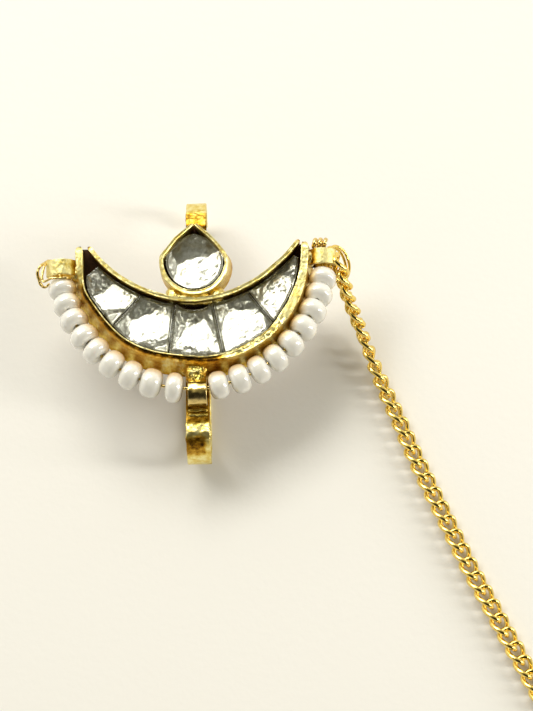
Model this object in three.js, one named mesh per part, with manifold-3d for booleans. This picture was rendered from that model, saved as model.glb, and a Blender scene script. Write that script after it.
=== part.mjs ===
// Nath, a nose ring: a crescent of five foil-backed stones under a stone drop, with a fringe of seed
// beads on a wire, a strip bent into a nose clip behind, and a chain that runs up to the hair.
//
// Units are millimetres. The nath lies on its clip's flat back: +Z is out of the stones' face, +Y runs
// from the crescent to the drop, and the origin is the centre of the clip's flat back, on the floor.

import * as THREE from 'three';
import { mergeVertices } from 'three/addons/utils/BufferGeometryUtils.js';
import Module from 'manifold-3d';

const wasm = await Module();
wasm.setup();

// ---- Driving dimensions -------------------------------------------------------------------------

// The nose clip: a flat strip bent into an open ring that the trays are soldered on.
const CLIP = {
  depth: 7.6, // outside, from the back's outer face to the front's
  thickness: 0.6,
  frontWidth: 2.05, // across the strip at its top end
  backWidth: 2.45, // across the strip at its bottom bend
  bottomY: -11.71, // centre of the bottom bend
  topY: 8.0, // centre of the top bend
  backEndY: 3.65, // free end of the back arm
  hookEnd: -50, // degrees round the top bend where the other free end stops
};

// Both trays: a base plate with a strip wall round it.
const TRAY = {
  base: CLIP.depth,
  depth: 2.6,
  floor: 0.6,
  wall: 0.45,
};
const RIM = TRAY.base + TRAY.depth;

// The crescent: a round outside about one centre, and a hollow top edge about another.
const CRESCENT = { x: -0.15, y: 5.7, radius: 11.6, flare: 0.4, tipY: 5.9, pocketTipY: 5.5 };
const HOLLOW = { x: -0.1, y: 12.66, radius: 12.46 };

// The drop: a half circle with straight sides up to a point.
const DROP = { x: 0.1, y: 4.15, radius: 3.56, shoulder: 10, apexY: 8.05, flare: 0.25 };

// The strip ears at the crescent's tips. Their holes run along Y.
const EARS = [
  { name: 'left', outerX: -15.05, innerX: -11.7, y: 3.83 },
  { name: 'right', outerX: 14.3, innerX: 11.5, y: 4.46 },
];
const EAR = { width: 1.56, height: 2.9, z: 8.65, strip: 0.35 };

// The strip loop under the crescent's middle. Its hole runs along X.
const LOOP = { fromX: -0.92, toX: 0.97, y: -9.15, z: 8.5, radius: 1.3, strip: 0.35 };
const SOLDER = { fromX: -0.95, toX: 1.0, fromY: -8.3, toY: -6.0, height: 1.7 };
const DROP_SOLDER = { halfWidth: 2.3, fromY: -0.25, toY: 1.4, height: 1.7 };

// Stones: thin plates on the trays' floors.
const STONE = { gap: 0.2, lift: 0.2, thickness: 1.0, jointGap: 0.1, roundTop: 7.05 };

// The lines between the crescent's stones, from the left end to the right one.
const JOINTS = [
  { topX: -9.5, topY: 4.3, bottomX: -11.2, bottomY: 2.7 },
  { topX: -5.75, topY: 0.56, bottomX: -7.78, bottomY: -1.66 },
  { topX: -2.15, topY: -0.4, bottomX: -2.7, bottomY: -4.66 },
  { topX: 1.86, topY: -0.95, bottomX: 2.5, bottomY: -4.57 },
  { topX: 5.31, topY: 0.88, bottomX: 7.51, bottomY: -2.01 },
  { topX: 9.4, topY: 4.75, bottomX: 11.2, bottomY: 4.3 },
];

// The bead wire follows a curve about this centre, a little wider on the left.
const WIRE = { radius: 0.2, centreY: 4.7, z: 8.7, reach: 13.4, lean: 0.3, twist: 0.1 };

// The beads, by the angle of each on the wire's curve, its width along the wire and its diameter.
const BEAD_HOLE = 0.42;
const BEADS = [
  { name: 'bead_left_1', angle: 192.5, width: 1.52, diameter: 2.8 },
  { name: 'bead_left_2', angle: 199.6, width: 1.52, diameter: 2.85 },
  { name: 'bead_left_3', angle: 206.9, width: 1.6, diameter: 2.9 },
  { name: 'bead_left_4', angle: 215.1, width: 1.7, diameter: 2.95 },
  { name: 'bead_left_5', angle: 222.9, width: 1.7, diameter: 2.85 },
  { name: 'bead_left_6', angle: 231.7, width: 1.95, diameter: 2.9 },
  { name: 'bead_left_7', angle: 240.9, width: 1.95, diameter: 3.0 },
  { name: 'bead_left_8', angle: 250.3, width: 2.1, diameter: 3.0 },
  { name: 'bead_left_9', angle: 260.2, width: 1.75, diameter: 3.05 },
  { name: 'bead_right_1', angle: 279.4, width: 1.95, diameter: 2.85 },
  { name: 'bead_right_2', angle: 288.9, width: 2.0, diameter: 3.0 },
  { name: 'bead_right_3', angle: 298.1, width: 1.9, diameter: 2.95 },
  { name: 'bead_right_4', angle: 307.1, width: 1.9, diameter: 2.95 },
  { name: 'bead_right_5', angle: 316.4, width: 1.9, diameter: 2.9 },
  { name: 'bead_right_6', angle: 325.4, width: 1.8, diameter: 2.9 },
  { name: 'bead_right_7', angle: 333.9, width: 1.7, diameter: 2.9 },
  { name: 'bead_right_8', angle: 341.8, width: 1.6, diameter: 2.8 },
  { name: 'bead_right_9', angle: 349.2, width: 1.52, diameter: 2.8 },
];

// The wire's left end: up through the ear, over its top edge and down round its outer end.
const LEFT_TAIL = [
  [-15.0, 2.12, 8.7],
  [-15.46, 1.98, 8.75],
  [-15.84, 2.4, 8.85],
  [-15.87, 3.2, 8.95],
  [-15.78, 3.85, 8.95],
  [-15.4, 4.6, 8.75],
  [-14.92, 4.98, 8.4],
  [-14.38, 4.88, 8.1],
  [-14.0, 4.2, 8.1],
  [-13.68, 3.2, 8.4],
];

// The wire's right end is twisted into a short coil on top of the right ear.
const KNOT = { fromX: 12.0, pitch: 0.52, turns: 2.5, radius: 0.36, y: 5.95, z: 8.9 };

// The split ring through the right ear: two turns of wire side by side. Both follow this loop, which
// starts inside the ear, goes over the strip's top edge and is pulled out of round by the chain.
const RING = { wire: 0.19, pitch: 0.42, turned: 50, turns: 1.9, steps: 60 };
const RING_LOOP = [
  [13.42, 4.4, 8.9],
  [13.45, 5.1, 8.8],
  [13.75, 5.62, 8.5],
  [14.3, 5.78, 8.0],
  [14.95, 5.45, 7.4],
  [15.35, 4.75, 6.95],
  [15.5, 3.95, 6.8],
  [15.35, 3.1, 6.8],
  [14.95, 2.55, 7.0],
  [14.35, 2.45, 7.15],
  [13.9, 2.9, 7.5],
  [13.55, 3.45, 8.2],
];

// The chain's route: down from the ring to the floor, then along it.
const CHAIN_RADIUS = 0.7;
const CHAIN = [
  [15.2, 1.85, 6.8],
  [15.5, 1.05, 5.85],
  [16.04, -0.17, 4.7],
  [16.76, -1.75, 3.45],
  [17.4, -3.24, 2.4],
  [18.29, -5.57, 1.35],
  [19.27, -7.98, 0.85],
  [20.5, -10.9, 0.7],
  [21.7, -13.95, 0.7],
  [23.0, -17.0, 0.7],
  [24.5, -20.35, 0.7],
  [25.95, -23.6, 0.7],
  [27.3, -26.6, 0.7],
  [28.8, -29.55, 0.7],
  [30.3, -32.6, 0.7],
  [31.8, -35.5, 0.7],
  [33.0, -37.95, 0.7],
  [34.5, -40.9, 0.7],
];

// The hair hook: a wire with an eye at the chain's end, a shank and a bend back.
const HOOK = { x: 35.02, y: -42.05, heading: -63, wire: 0.4, eye: 1.0, shank: 5.2, bend: 1.5, tip: 2.6 };

// ---- Geometry helpers ---------------------------------------------------------------------------

const DEGREE = Math.PI / 180;
const ROUND = 96; // segments of a large circle

// A closed three.js geometry as a solid that can be joined and cut.
function solidOf(geometry) {
  const bare = geometry.clone();
  bare.deleteAttribute('normal');
  bare.deleteAttribute('uv');
  const merged = mergeVertices(bare, 1e-4);
  return new wasm.Manifold(new wasm.Mesh({
    numProp: 3,
    vertProperties: new Float32Array(merged.attributes.position.array),
    triVerts: new Uint32Array(merged.index.array),
  }));
}

// A solid as a three.js geometry.
function geometryOf(solid) {
  const mesh = solid.getMesh();
  const geometry = new THREE.BufferGeometry();
  geometry.setAttribute('position', new THREE.BufferAttribute(mesh.vertProperties, mesh.numProp));
  geometry.setIndex(new THREE.BufferAttribute(mesh.triVerts, 1));
  geometry.computeVertexNormals();
  return geometry;
}

function join(solids) {
  return solids.reduce((whole, piece) => whole.add(piece));
}

// A box between two corners.
function block(low, high) {
  const size = high.map((value, i) => value - low[i]);
  const geometry = new THREE.BoxGeometry(...size);
  geometry.translate(...low.map((value, i) => value + size[i] / 2));
  return solidOf(geometry);
}

// An upright disc or cone frustum about (x, y), from one height to another.
function disc(x, y, bottomRadius, topRadius, fromZ, toZ) {
  const geometry = new THREE.CylinderGeometry(topRadius, bottomRadius, toZ - fromZ, ROUND);
  geometry.rotateX(Math.PI / 2);
  geometry.translate(x, y, (fromZ + toZ) / 2);
  return solidOf(geometry);
}

// An upright plate of an XY outline, from one height to another.
function plate(shape, fromZ, toZ, curveSegments = 16) {
  const geometry = new THREE.ExtrudeGeometry(shape, {
    depth: toZ - fromZ,
    bevelEnabled: false,
    curveSegments,
  });
  geometry.translate(0, 0, fromZ);
  return geometry;
}

// A round tube of open ends closed by caps, along a curve.
function tube(curve, radius, sides, steps) {
  const section = new THREE.Shape();
  for (let i = 0; i < sides; i += 1) {
    const turn = (i / sides) * 2 * Math.PI;
    const place = [radius * Math.cos(turn), radius * Math.sin(turn)];
    if (i === 0) section.moveTo(...place);
    else section.lineTo(...place);
  }
  section.closePath();
  return new THREE.ExtrudeGeometry(section, { steps, extrudePath: curve, bevelEnabled: false });
}

function curveThrough(points) {
  return new THREE.CatmullRomCurve3(points.map((p) => new THREE.Vector3(...p)), false, 'centripetal');
}

// ---- Materials ----------------------------------------------------------------------------------

function finish(color, metalness, roughness) {
  return new THREE.MeshStandardMaterial({ color, metalness, roughness });
}

// ---- The soldered setting -----------------------------------------------------------------------

// The crescent's outline as a solid between two heights: inset moves both edges inwards.
function crescentSolid(fromZ, toZ, inset, flare, tipY) {
  const radius = CRESCENT.radius - inset;
  const outside = disc(CRESCENT.x, CRESCENT.y, radius + flare, radius, fromZ, toZ);
  const hollow = disc(
    HOLLOW.x, HOLLOW.y, HOLLOW.radius + inset, HOLLOW.radius + inset, fromZ - 1, toZ + 1,
  );
  const aboveTips = block([-20, tipY, fromZ - 1], [20, 30, toZ + 1]);
  return outside.subtract(hollow).subtract(aboveTips);
}

// The drop's outline with its edge moved inwards. The point moves further than the sides do.
function dropShape(inset) {
  const radius = DROP.radius - inset;
  const shoulder = DROP.shoulder * DEGREE;
  const shape = new THREE.Shape();
  shape.moveTo(DROP.x, DROP.apexY - inset * 1.4);
  shape.lineTo(DROP.x - radius * Math.cos(shoulder), DROP.y + radius * Math.sin(shoulder));
  shape.absarc(DROP.x, DROP.y, radius, Math.PI - shoulder, 2 * Math.PI + shoulder, false);
  shape.closePath();
  return shape;
}

// The drop tray's body, a little wider at its base.
function dropBody() {
  const geometry = plate(dropShape(0), TRAY.base, RIM);
  const place = geometry.attributes.position;
  const growth = 1 + DROP.flare / DROP.radius;
  for (let i = 0; i < place.count; i += 1) {
    if (place.getZ(i) < (TRAY.base + RIM) / 2) {
      place.setX(i, DROP.x + (place.getX(i) - DROP.x) * growth);
      place.setY(i, DROP.y + (place.getY(i) - DROP.y) * growth);
    }
  }
  return solidOf(geometry);
}

// A strip rolled into an ear, soldered to the crescent's side.
function earSolid(ear) {
  const centreX = (ear.outerX + ear.innerX) / 2;
  const halfLength = Math.abs(ear.outerX - ear.innerX) / 2;
  const shape = new THREE.Shape();
  shape.absellipse(0, 0, halfLength, EAR.height / 2, 0, 2 * Math.PI, false, 0);
  const hole = new THREE.Path();
  hole.absellipse(0, 0, halfLength - EAR.strip, EAR.height / 2 - EAR.strip, 0, 2 * Math.PI, true, 0);
  shape.holes.push(hole);
  const geometry = plate(shape, -EAR.width / 2, EAR.width / 2, 12);
  geometry.rotateX(Math.PI / 2);
  geometry.translate(centreX, ear.y, EAR.z);
  return solidOf(geometry);
}

// A strip rolled into the middle loop, with the solder that holds it to the crescent.
function middleLoop() {
  const shape = new THREE.Shape();
  shape.absarc(0, 0, LOOP.radius, 0, 2 * Math.PI, false);
  const hole = new THREE.Path();
  hole.absarc(0, 0, LOOP.radius - LOOP.strip, 0, 2 * Math.PI, true);
  shape.holes.push(hole);
  const geometry = plate(shape, LOOP.fromX, LOOP.toX, 12);
  geometry.rotateY(Math.PI / 2);
  geometry.translate(0, LOOP.y, LOOP.z);
  const lump = block(
    [SOLDER.fromX, SOLDER.fromY, TRAY.base - CLIP.thickness / 2],
    [SOLDER.toX, SOLDER.toY, TRAY.base + SOLDER.height],
  );
  const bore = new THREE.CylinderGeometry(LOOP.radius - LOOP.strip, LOOP.radius - LOOP.strip, 6, 24);
  bore.rotateZ(Math.PI / 2);
  bore.translate(0, LOOP.y, LOOP.z);
  return solidOf(geometry).add(lump.subtract(solidOf(bore)));
}

// The clip's strip, drawn in the YZ plane and tapered across X along its length.
function clipSolid() {
  const middle = CLIP.depth / 2;
  const inner = middle - CLIP.thickness;
  const shape = new THREE.Shape();
  shape.moveTo(CLIP.backEndY, 0);
  shape.lineTo(CLIP.bottomY, 0);
  shape.absarc(CLIP.bottomY, middle, middle, -Math.PI / 2, -1.5 * Math.PI, true);
  shape.lineTo(CLIP.topY, CLIP.depth);
  shape.absarc(CLIP.topY, middle, middle, Math.PI / 2, CLIP.hookEnd * DEGREE, true);
  shape.absarc(CLIP.topY, middle, inner, CLIP.hookEnd * DEGREE, Math.PI / 2, false);
  shape.lineTo(CLIP.bottomY, CLIP.depth - CLIP.thickness);
  shape.absarc(CLIP.bottomY, middle, inner, Math.PI / 2, 1.5 * Math.PI, false);
  shape.lineTo(CLIP.backEndY, CLIP.thickness);
  shape.closePath();
  const geometry = plate(shape, -0.5, 0.5, 16);
  // Shape x becomes Y, shape y becomes Z, and the plate's own height becomes X.
  geometry.applyMatrix4(new THREE.Matrix4().makeBasis(
    new THREE.Vector3(0, 1, 0), new THREE.Vector3(0, 0, 1), new THREE.Vector3(1, 0, 0),
  ));
  const lowest = CLIP.bottomY - middle;
  const length = CLIP.topY + middle - lowest;
  const place = geometry.attributes.position;
  for (let i = 0; i < place.count; i += 1) {
    const along = (place.getY(i) - lowest) / length;
    place.setX(i, place.getX(i) * THREE.MathUtils.lerp(CLIP.backWidth, CLIP.frontWidth, along));
  }
  return solidOf(geometry);
}

function settingFrame() {
  const dropSolder = block(
    [DROP.x - DROP_SOLDER.halfWidth, DROP_SOLDER.fromY, TRAY.base],
    [DROP.x + DROP_SOLDER.halfWidth, DROP_SOLDER.toY, TRAY.base + DROP_SOLDER.height],
  );
  const metal = join([
    crescentSolid(TRAY.base, RIM, 0, CRESCENT.flare, CRESCENT.tipY),
    dropBody(),
    dropSolder,
    ...EARS.map(earSolid),
    middleLoop(),
    clipSolid(),
  ]);
  const floor = TRAY.base + TRAY.floor;
  const crescentPocket = crescentSolid(floor, RIM + 1, TRAY.wall, 0, CRESCENT.pocketTipY);
  const dropPocket = solidOf(plate(dropShape(TRAY.wall), floor, RIM + 1));
  return metal.subtract(crescentPocket).subtract(dropPocket);
}

// ---- Stones -------------------------------------------------------------------------------------

const STONE_FROM = TRAY.base + TRAY.floor + STONE.lift;
const STONE_TO = STONE_FROM + STONE.thickness;

// One end of a joint line, moved far past the crescent's edge and aside by the joint's half gap.
function jointEnd(joint, reach, aside) {
  const along = new THREE.Vector2(joint.topX - joint.bottomX, joint.topY - joint.bottomY).normalize();
  const across = new THREE.Vector2(along.y, -along.x);
  const middle = new THREE.Vector2(joint.topX + joint.bottomX, joint.topY + joint.bottomY).multiplyScalar(0.5);
  return middle.addScaledVector(along, reach).addScaledVector(across, aside);
}

function crescentStone(left, right) {
  const reach = 3.6;
  const wedge = new THREE.Shape([
    jointEnd(left, reach, STONE.jointGap),
    jointEnd(left, -reach, STONE.jointGap),
    jointEnd(right, -reach, -STONE.jointGap),
    jointEnd(right, reach, -STONE.jointGap),
  ]);
  const inset = TRAY.wall + STONE.gap;
  const bed = crescentSolid(STONE_FROM, STONE_TO, inset, 0, CRESCENT.pocketTipY - STONE.gap);
  return bed.intersect(solidOf(plate(wedge, STONE_FROM - 1, STONE_TO + 1)));
}

// The drop's stone: the drop's outline with its point cut off in a low arc.
function dropStone() {
  const inset = TRAY.wall + STONE.gap;
  const radius = DROP.radius - inset;
  const whole = solidOf(plate(dropShape(inset), STONE_FROM, STONE_TO));
  return whole.intersect(disc(
    DROP.x, STONE.roundTop - radius, radius * 1.02, radius * 1.02, STONE_FROM - 1, STONE_TO + 1,
  ).add(disc(DROP.x, DROP.y - 1, radius + 1, radius + 1, STONE_FROM - 1, STONE_TO + 1)
    .subtract(block([-9, DROP.y, 0], [9, 20, 20]))));
}

// ---- Beads and wire -----------------------------------------------------------------------------

// A point of the wire's curve at an angle in degrees about its centre.
function wirePoint(angle) {
  const turn = angle * DEGREE;
  const reach = WIRE.reach - WIRE.lean * Math.cos(turn) + WIRE.twist * Math.sin(2 * turn);
  return new THREE.Vector3(reach * Math.cos(turn), WIRE.centreY + reach * Math.sin(turn), WIRE.z);
}

// A seed bead about the Y axis: round outside, with a straight hole.
function beadGeometry(bead) {
  const half = bead.width / 2;
  const profile = [new THREE.Vector2(BEAD_HOLE, -half * 0.82)];
  const arcSteps = 8;
  for (let i = 0; i <= arcSteps; i += 1) {
    const turn = (-0.5 + i / arcSteps) * Math.PI;
    const bulge = Math.cos(turn) ** 0.75;
    const out = BEAD_HOLE + 0.22 + (bead.diameter / 2 - BEAD_HOLE - 0.22) * bulge;
    profile.push(new THREE.Vector2(out, half * Math.sin(turn)));
  }
  profile.push(new THREE.Vector2(BEAD_HOLE, half * 0.82));
  profile.push(profile[0].clone());
  return new THREE.LatheGeometry(profile, 16);
}

function beadMesh(bead, material) {
  const mesh = new THREE.Mesh(geometryOf(solidOf(beadGeometry(bead))), material);
  mesh.name = bead.name;
  mesh.position.copy(wirePoint(bead.angle));
  const along = wirePoint(bead.angle + 0.5).sub(wirePoint(bead.angle - 0.5)).normalize();
  mesh.quaternion.setFromUnitVectors(new THREE.Vector3(0, 1, 0), along);
  return mesh;
}

function beadWireCurve() {
  const points = [...LEFT_TAIL];
  const firstAngle = 192;
  const lastAngle = 350;
  const steps = 22;
  for (let i = 0; i <= steps; i += 1) {
    const place = wirePoint(firstAngle + ((lastAngle - firstAngle) * i) / steps);
    points.push(place.toArray());
  }
  points.push([12.9, 3.7, WIRE.z]);
  points.push([12.6, 4.7, WIRE.z]);
  const knotSteps = Math.round(KNOT.turns * 8);
  for (let i = 0; i <= knotSteps; i += 1) {
    const turn = (i / 8) * 2 * Math.PI;
    points.push([
      KNOT.fromX + (KNOT.pitch * i) / 8,
      KNOT.y - KNOT.radius * Math.cos(turn),
      KNOT.z + KNOT.radius * Math.sin(turn),
    ]);
  }
  return curveThrough(points);
}

// ---- Ring ---------------------------------------------------------------------------------------

// The middle line of the ring's wire. Both turns are flat, apart from the step between them, which
// takes up the stretch where only one turn runs.
function ringCurve() {
  const loop = new THREE.CatmullRomCurve3(RING_LOOP.map((p) => new THREE.Vector3(...p)), true);
  const axis = new THREE.Vector3(Math.sin(RING.turned * DEGREE), 0, Math.cos(RING.turned * DEGREE));
  const stepHalf = 1 - RING.turns / 2;
  const points = [];
  for (let i = 0; i <= RING.steps; i += 1) {
    const fromMiddle = (i / RING.steps - 0.5) * RING.turns;
    const aside = THREE.MathUtils.clamp(fromMiddle / stepHalf, -1, 1) * (RING.pitch / 2);
    points.push(loop.getPointAt((fromMiddle + 1) % 1).addScaledVector(axis, aside));
  }
  return new THREE.CatmullRomCurve3(points, false, 'centripetal');
}

// ---- Hair hook ----------------------------------------------------------------------------------

// The hook's wire in its own plane: an eye about the origin, a shank along +X and a bend back.
function hookCurve() {
  const eyeStart = 55;
  const points = [];
  for (let angle = eyeStart; angle <= 360; angle += 30.5) {
    points.push([-HOOK.eye * Math.cos(angle * DEGREE), HOOK.eye * Math.sin(angle * DEGREE), 0]);
  }
  points.pop();
  points.push([HOOK.eye * 0.2, -HOOK.eye * 1.05, 0]);
  points.push([HOOK.eye * 1.6, -HOOK.eye * 0.7, 0]);
  points.push([HOOK.shank * 0.6, -HOOK.eye * 0.6, 0]);
  for (let angle = -90; angle <= 90; angle += 30) {
    points.push([
      HOOK.shank + HOOK.bend * Math.cos(angle * DEGREE),
      HOOK.bend + HOOK.bend * Math.sin(angle * DEGREE) - HOOK.eye * 0.6,
      0,
    ]);
  }
  points.push([HOOK.shank - HOOK.tip, 2 * HOOK.bend - HOOK.eye * 0.6 + 0.35, 0]);
  return curveThrough(points);
}

// ---- The object ---------------------------------------------------------------------------------

const gold = finish(0xd9b45a, 1.0, 0.38);
const chainGold = finish(0xf0cb52, 1.0, 0.22);
const foilGlass = finish(0xd8d9d4, 0.6, 0.12);
const pearl = finish(0xf2eee6, 0.0, 0.28);

const nath = new THREE.Group();

function addPiece(name, geometry, material) {
  const mesh = new THREE.Mesh(geometry, material);
  mesh.name = name;
  nath.add(mesh);
  return mesh;
}

addPiece('setting_frame', geometryOf(settingFrame()), gold);
for (let i = 0; i + 1 < JOINTS.length; i += 1) {
  addPiece(`crescent_stone_${i + 1}`, geometryOf(crescentStone(JOINTS[i], JOINTS[i + 1])), foilGlass);
}
addPiece('drop_stone', geometryOf(dropStone()), foilGlass);
for (const bead of BEADS) nath.add(beadMesh(bead, pearl));
addPiece('bead_wire', tube(beadWireCurve(), WIRE.radius, 6, 150), gold);
addPiece('jump_ring', tube(ringCurve(), RING.wire, 8, 80), chainGold);
addPiece('chain', tube(curveThrough(CHAIN), CHAIN_RADIUS, 8, 36), chainGold);
const hook = addPiece('hair_hook', tube(hookCurve(), HOOK.wire, 8, 48), chainGold);
hook.position.set(HOOK.x, HOOK.y, HOOK.wire);
hook.rotation.z = HOOK.heading * DEGREE;

// The origin is the centre of the clip's flat back.
nath.position.y = -(CLIP.bottomY + CLIP.backEndY) / 2;
nath.updateMatrixWorld(true);

export default nath;
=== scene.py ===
"""Nath, a nose ring: gold trays with foil-backed glass stones, a fringe of pearly seed beads, a strip
nose clip and a curb chain to the hair.

All measures are millimetres. A piece is made in the nath's own places, where y is 0 at the middle of the
crescent's hollow and z is 0 on the floor, and goes into the frame when its mesh is made.
"""

import math

import bmesh
import bpy
import numpy as np
from mathutils import Euler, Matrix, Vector, noise


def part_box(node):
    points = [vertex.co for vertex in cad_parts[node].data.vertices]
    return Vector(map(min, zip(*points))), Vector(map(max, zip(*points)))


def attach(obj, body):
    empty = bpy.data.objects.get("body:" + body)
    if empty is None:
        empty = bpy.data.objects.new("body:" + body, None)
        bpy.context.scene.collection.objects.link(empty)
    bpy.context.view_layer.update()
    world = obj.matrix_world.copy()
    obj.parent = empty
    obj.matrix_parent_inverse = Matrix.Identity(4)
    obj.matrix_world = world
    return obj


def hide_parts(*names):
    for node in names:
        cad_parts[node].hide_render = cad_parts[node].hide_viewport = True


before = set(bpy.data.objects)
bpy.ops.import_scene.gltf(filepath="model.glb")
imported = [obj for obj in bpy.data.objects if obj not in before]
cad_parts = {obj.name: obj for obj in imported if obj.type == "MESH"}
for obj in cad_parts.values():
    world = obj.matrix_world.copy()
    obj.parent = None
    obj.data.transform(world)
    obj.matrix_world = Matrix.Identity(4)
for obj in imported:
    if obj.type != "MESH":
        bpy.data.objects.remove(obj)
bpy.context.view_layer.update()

# ---- Driving dimensions, in millimetres and degrees ---------------------------------------------

MM = 0.001
DEGREE = math.pi / 180

CLIP = {"depth": 7.6, "thick": 0.6, "front_width": 2.05, "back_width": 2.45,
        "bottom_y": -11.71, "top_y": 8.0, "back_end_y": 3.65, "hook_end": -50}
CRESCENT = {"x": -0.15, "y": 5.7, "radius": 11.6}
HOLLOW = {"x": -0.1, "y": 12.66, "radius": 12.46}
# The drop's point is drawn out by apex_rise and leans aside by apex_aside.
DROP = {"x": -0.05, "y": 4.15, "radius": 3.56, "shoulder": 6, "apex_y": 8.05, "apex_rise": 0.27,
        "apex_aside": 0.03, "stone_radius": 2.88}
WALL = 0.45
FLOOR_THICK = 0.6
LOOP = {"from_x": -0.92, "to_x": 0.97, "y": -9.15, "z": 8.5, "radius": 1.3, "thick": 0.35}
# worked is how deep an ear's hammer marks are.
EARS = {
    "left_ear": {"outer_x": -15.05, "inner_x": -11.7, "y": 3.83, "bow": 0.16, "tilt": 6, "worked": 0.035},
    "right_ear": {"outer_x": 14.3, "inner_x": 11.5, "y": 4.46, "bow": 0.03, "tilt": 3, "worked": 0.015},
}
EAR = {"width": 1.56, "height": 2.9, "z": 8.65, "thick": 0.35}
# A bead's hole is a radius, and mouth is how far its edge is rounded. Next to the ears the beads are
# pushed together: from lean_from to lean_to degrees off the fringe's middle they lean over, up to lean
# degrees, and are broader by up to swell.
BEAD = {"hole": 0.23, "mouth": 0.12, "fullness": 2.5, "lean": 34, "lean_from": 30, "lean_to": 78,
        "swell": 0.12}

# The lines between the crescent's stones: x and y at the hollow's side, x and y at the outer side.
JOINTS = [
    (-9.5, 4.3, -11.2, 2.7),
    (-5.75, 0.56, -7.78, -1.66),
    (-2.15, -0.4, -2.7, -4.66),
    (1.86, -0.95, 2.5, -4.57),
    (5.31, 0.88, 7.51, -2.01),
    (9.4, 4.75, 11.2, 4.3),
]

WIRE_CURVE = {"centre_y": 4.7, "z": 8.7, "reach": 13.4, "lean": 0.3, "twist": 0.1}
WIRE_RADIUS = 0.15
LEFT_TAIL = [
    (-14.73, 2.43, 8.8), (-14.98, 2.11, 8.7), (-15.3, 2.04, 8.7), (-15.62, 2.34, 8.8),
    (-15.76, 2.8, 9.0), (-15.88, 3.2, 9.1), (-15.85, 3.66, 9.2), (-15.56, 4.17, 9.2),
    (-15.2, 4.5, 8.9), (-14.8, 4.9, 8.3), (-14.38, 4.8, 8.1), (-14.0, 4.2, 8.1), (-13.68, 3.2, 8.4),
]
# The tail's other strand, which lies round the left ear's end and under its lower edge.
LEFT_STRAND = [
    (-15.05, 4.4, 8.9), (-15.2, 4.15, 9.3), (-15.3, 3.54, 9.5), (-15.4, 2.89, 9.6),
    (-15.25, 2.42, 9.65), (-14.88, 2.45, 9.8), (-14.42, 2.62, 9.98), (-13.71, 2.62, 10.02),
    (-12.92, 2.68, 9.8), (-12.45, 2.75, 9.3),
]
KNOT = {"from_x": 12.0, "pitch": 0.52, "turns": 2.5, "radius": 0.36, "y": 5.95, "z": 8.9}

RING = {"wire": 0.15, "pitch": 0.46, "turned": 50, "turns": 1.9}
RING_LOOP = [
    (13.42, 4.4, 8.9), (13.45, 5.1, 8.8), (13.75, 5.62, 8.5), (14.3, 5.78, 8.0),
    (14.95, 5.45, 7.4), (15.35, 4.75, 6.95), (15.5, 3.95, 6.8), (15.35, 3.1, 6.8),
    (14.95, 2.55, 7.0), (14.35, 2.45, 7.15), (13.9, 2.9, 7.5), (13.55, 3.45, 8.2),
]

# The chain's route, from inside the ring down to the floor and on to the hair hook's eye.
CHAIN_ROUTE = [
    (14.4, 4.1, 8.75), (14.85, 2.9, 7.9),
    (15.2, 1.85, 6.8), (15.5, 1.05, 5.85), (16.04, -0.17, 4.7), (16.76, -1.75, 3.45),
    (17.4, -3.24, 2.5), (18.29, -5.57, 1.62), (19.27, -7.98, 1.26), (20.5, -10.9, 1.08),
    (21.7, -13.95, 1.04), (23.0, -17.0, 1.02), (24.5, -20.35, 1.0), (25.95, -23.6, 0.99),
    (27.3, -26.6, 0.98), (28.8, -29.55, 0.97), (30.3, -32.6, 0.96), (31.8, -35.5, 0.95),
    (33.0, -37.95, 0.95), (34.5, -40.9, 0.95), (35.1, -42.0, 0.93),
]
# first is how far the first link is from the route's start, and from_eye the last one from its end.
LINK = {"pitch": 1.6, "wire": 0.265, "half_length": 1.1, "half_width": 0.86, "twist": 46,
        "fullness": 2.7, "first": 0.45, "from_eye": 1.35}
# How far the links are rolled over, in degrees, by the length from the ring.
CHAIN_ROLL = [(0, 100), (7, 90), (11, 77), (16, 57), (24, 44), (50, 32)]
HOOK = {"x": 35.02, "y": -42.05, "heading": -63, "wire": 0.4, "eye": 1.0, "shank": 5.2,
        "bend": 1.5, "tip": 2.6}

# ---- Places that the frame gives ----------------------------------------------------------------

setting_low, setting_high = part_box("setting_frame")
RIM = setting_high.z / MM  # the rims' top
BASE = CLIP["depth"]  # the trays' underside, on the clip
SHIFT_Y = setting_low.y / MM - (CLIP["bottom_y"] - CLIP["depth"] / 2)
STONE_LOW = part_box("crescent_stone_3")[0].z / MM
STONE_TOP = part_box("crescent_stone_3")[1].z / MM


# ---- Making meshes ------------------------------------------------------------------------------

def skin(rings, joined=False):
    """A closed shell through rings of points, as points and faces. Joined, it is a ring of rings."""
    count, sides = rings.shape[:2]
    row = np.arange(count if joined else count - 1)[:, None] * sides
    next_row = (row + sides) % (count * sides)
    column = np.arange(sides)[None, :]
    next_column = (column + 1) % sides
    faces = np.stack([row + column, row + next_column, next_row + next_column, next_row + column], -1)
    faces = faces.reshape(-1, 4).tolist()
    if not joined:
        faces.append(list(range(sides))[::-1])
        faces.append(list(range((count - 1) * sides, count * sides)))
    return rings.reshape(-1, 3), faces


def sheet_faces(rows, columns, start=0, flip=False):
    """The faces of a grid of points that is stored row by row."""
    row = np.arange(rows - 1)[:, None] * columns + start
    column = np.arange(columns - 1)[None, :]
    corners = [row + column, row + column + 1, row + columns + column + 1, row + columns + column]
    return np.stack(corners[::-1] if flip else corners, -1).reshape(-1, 4).tolist()


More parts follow.
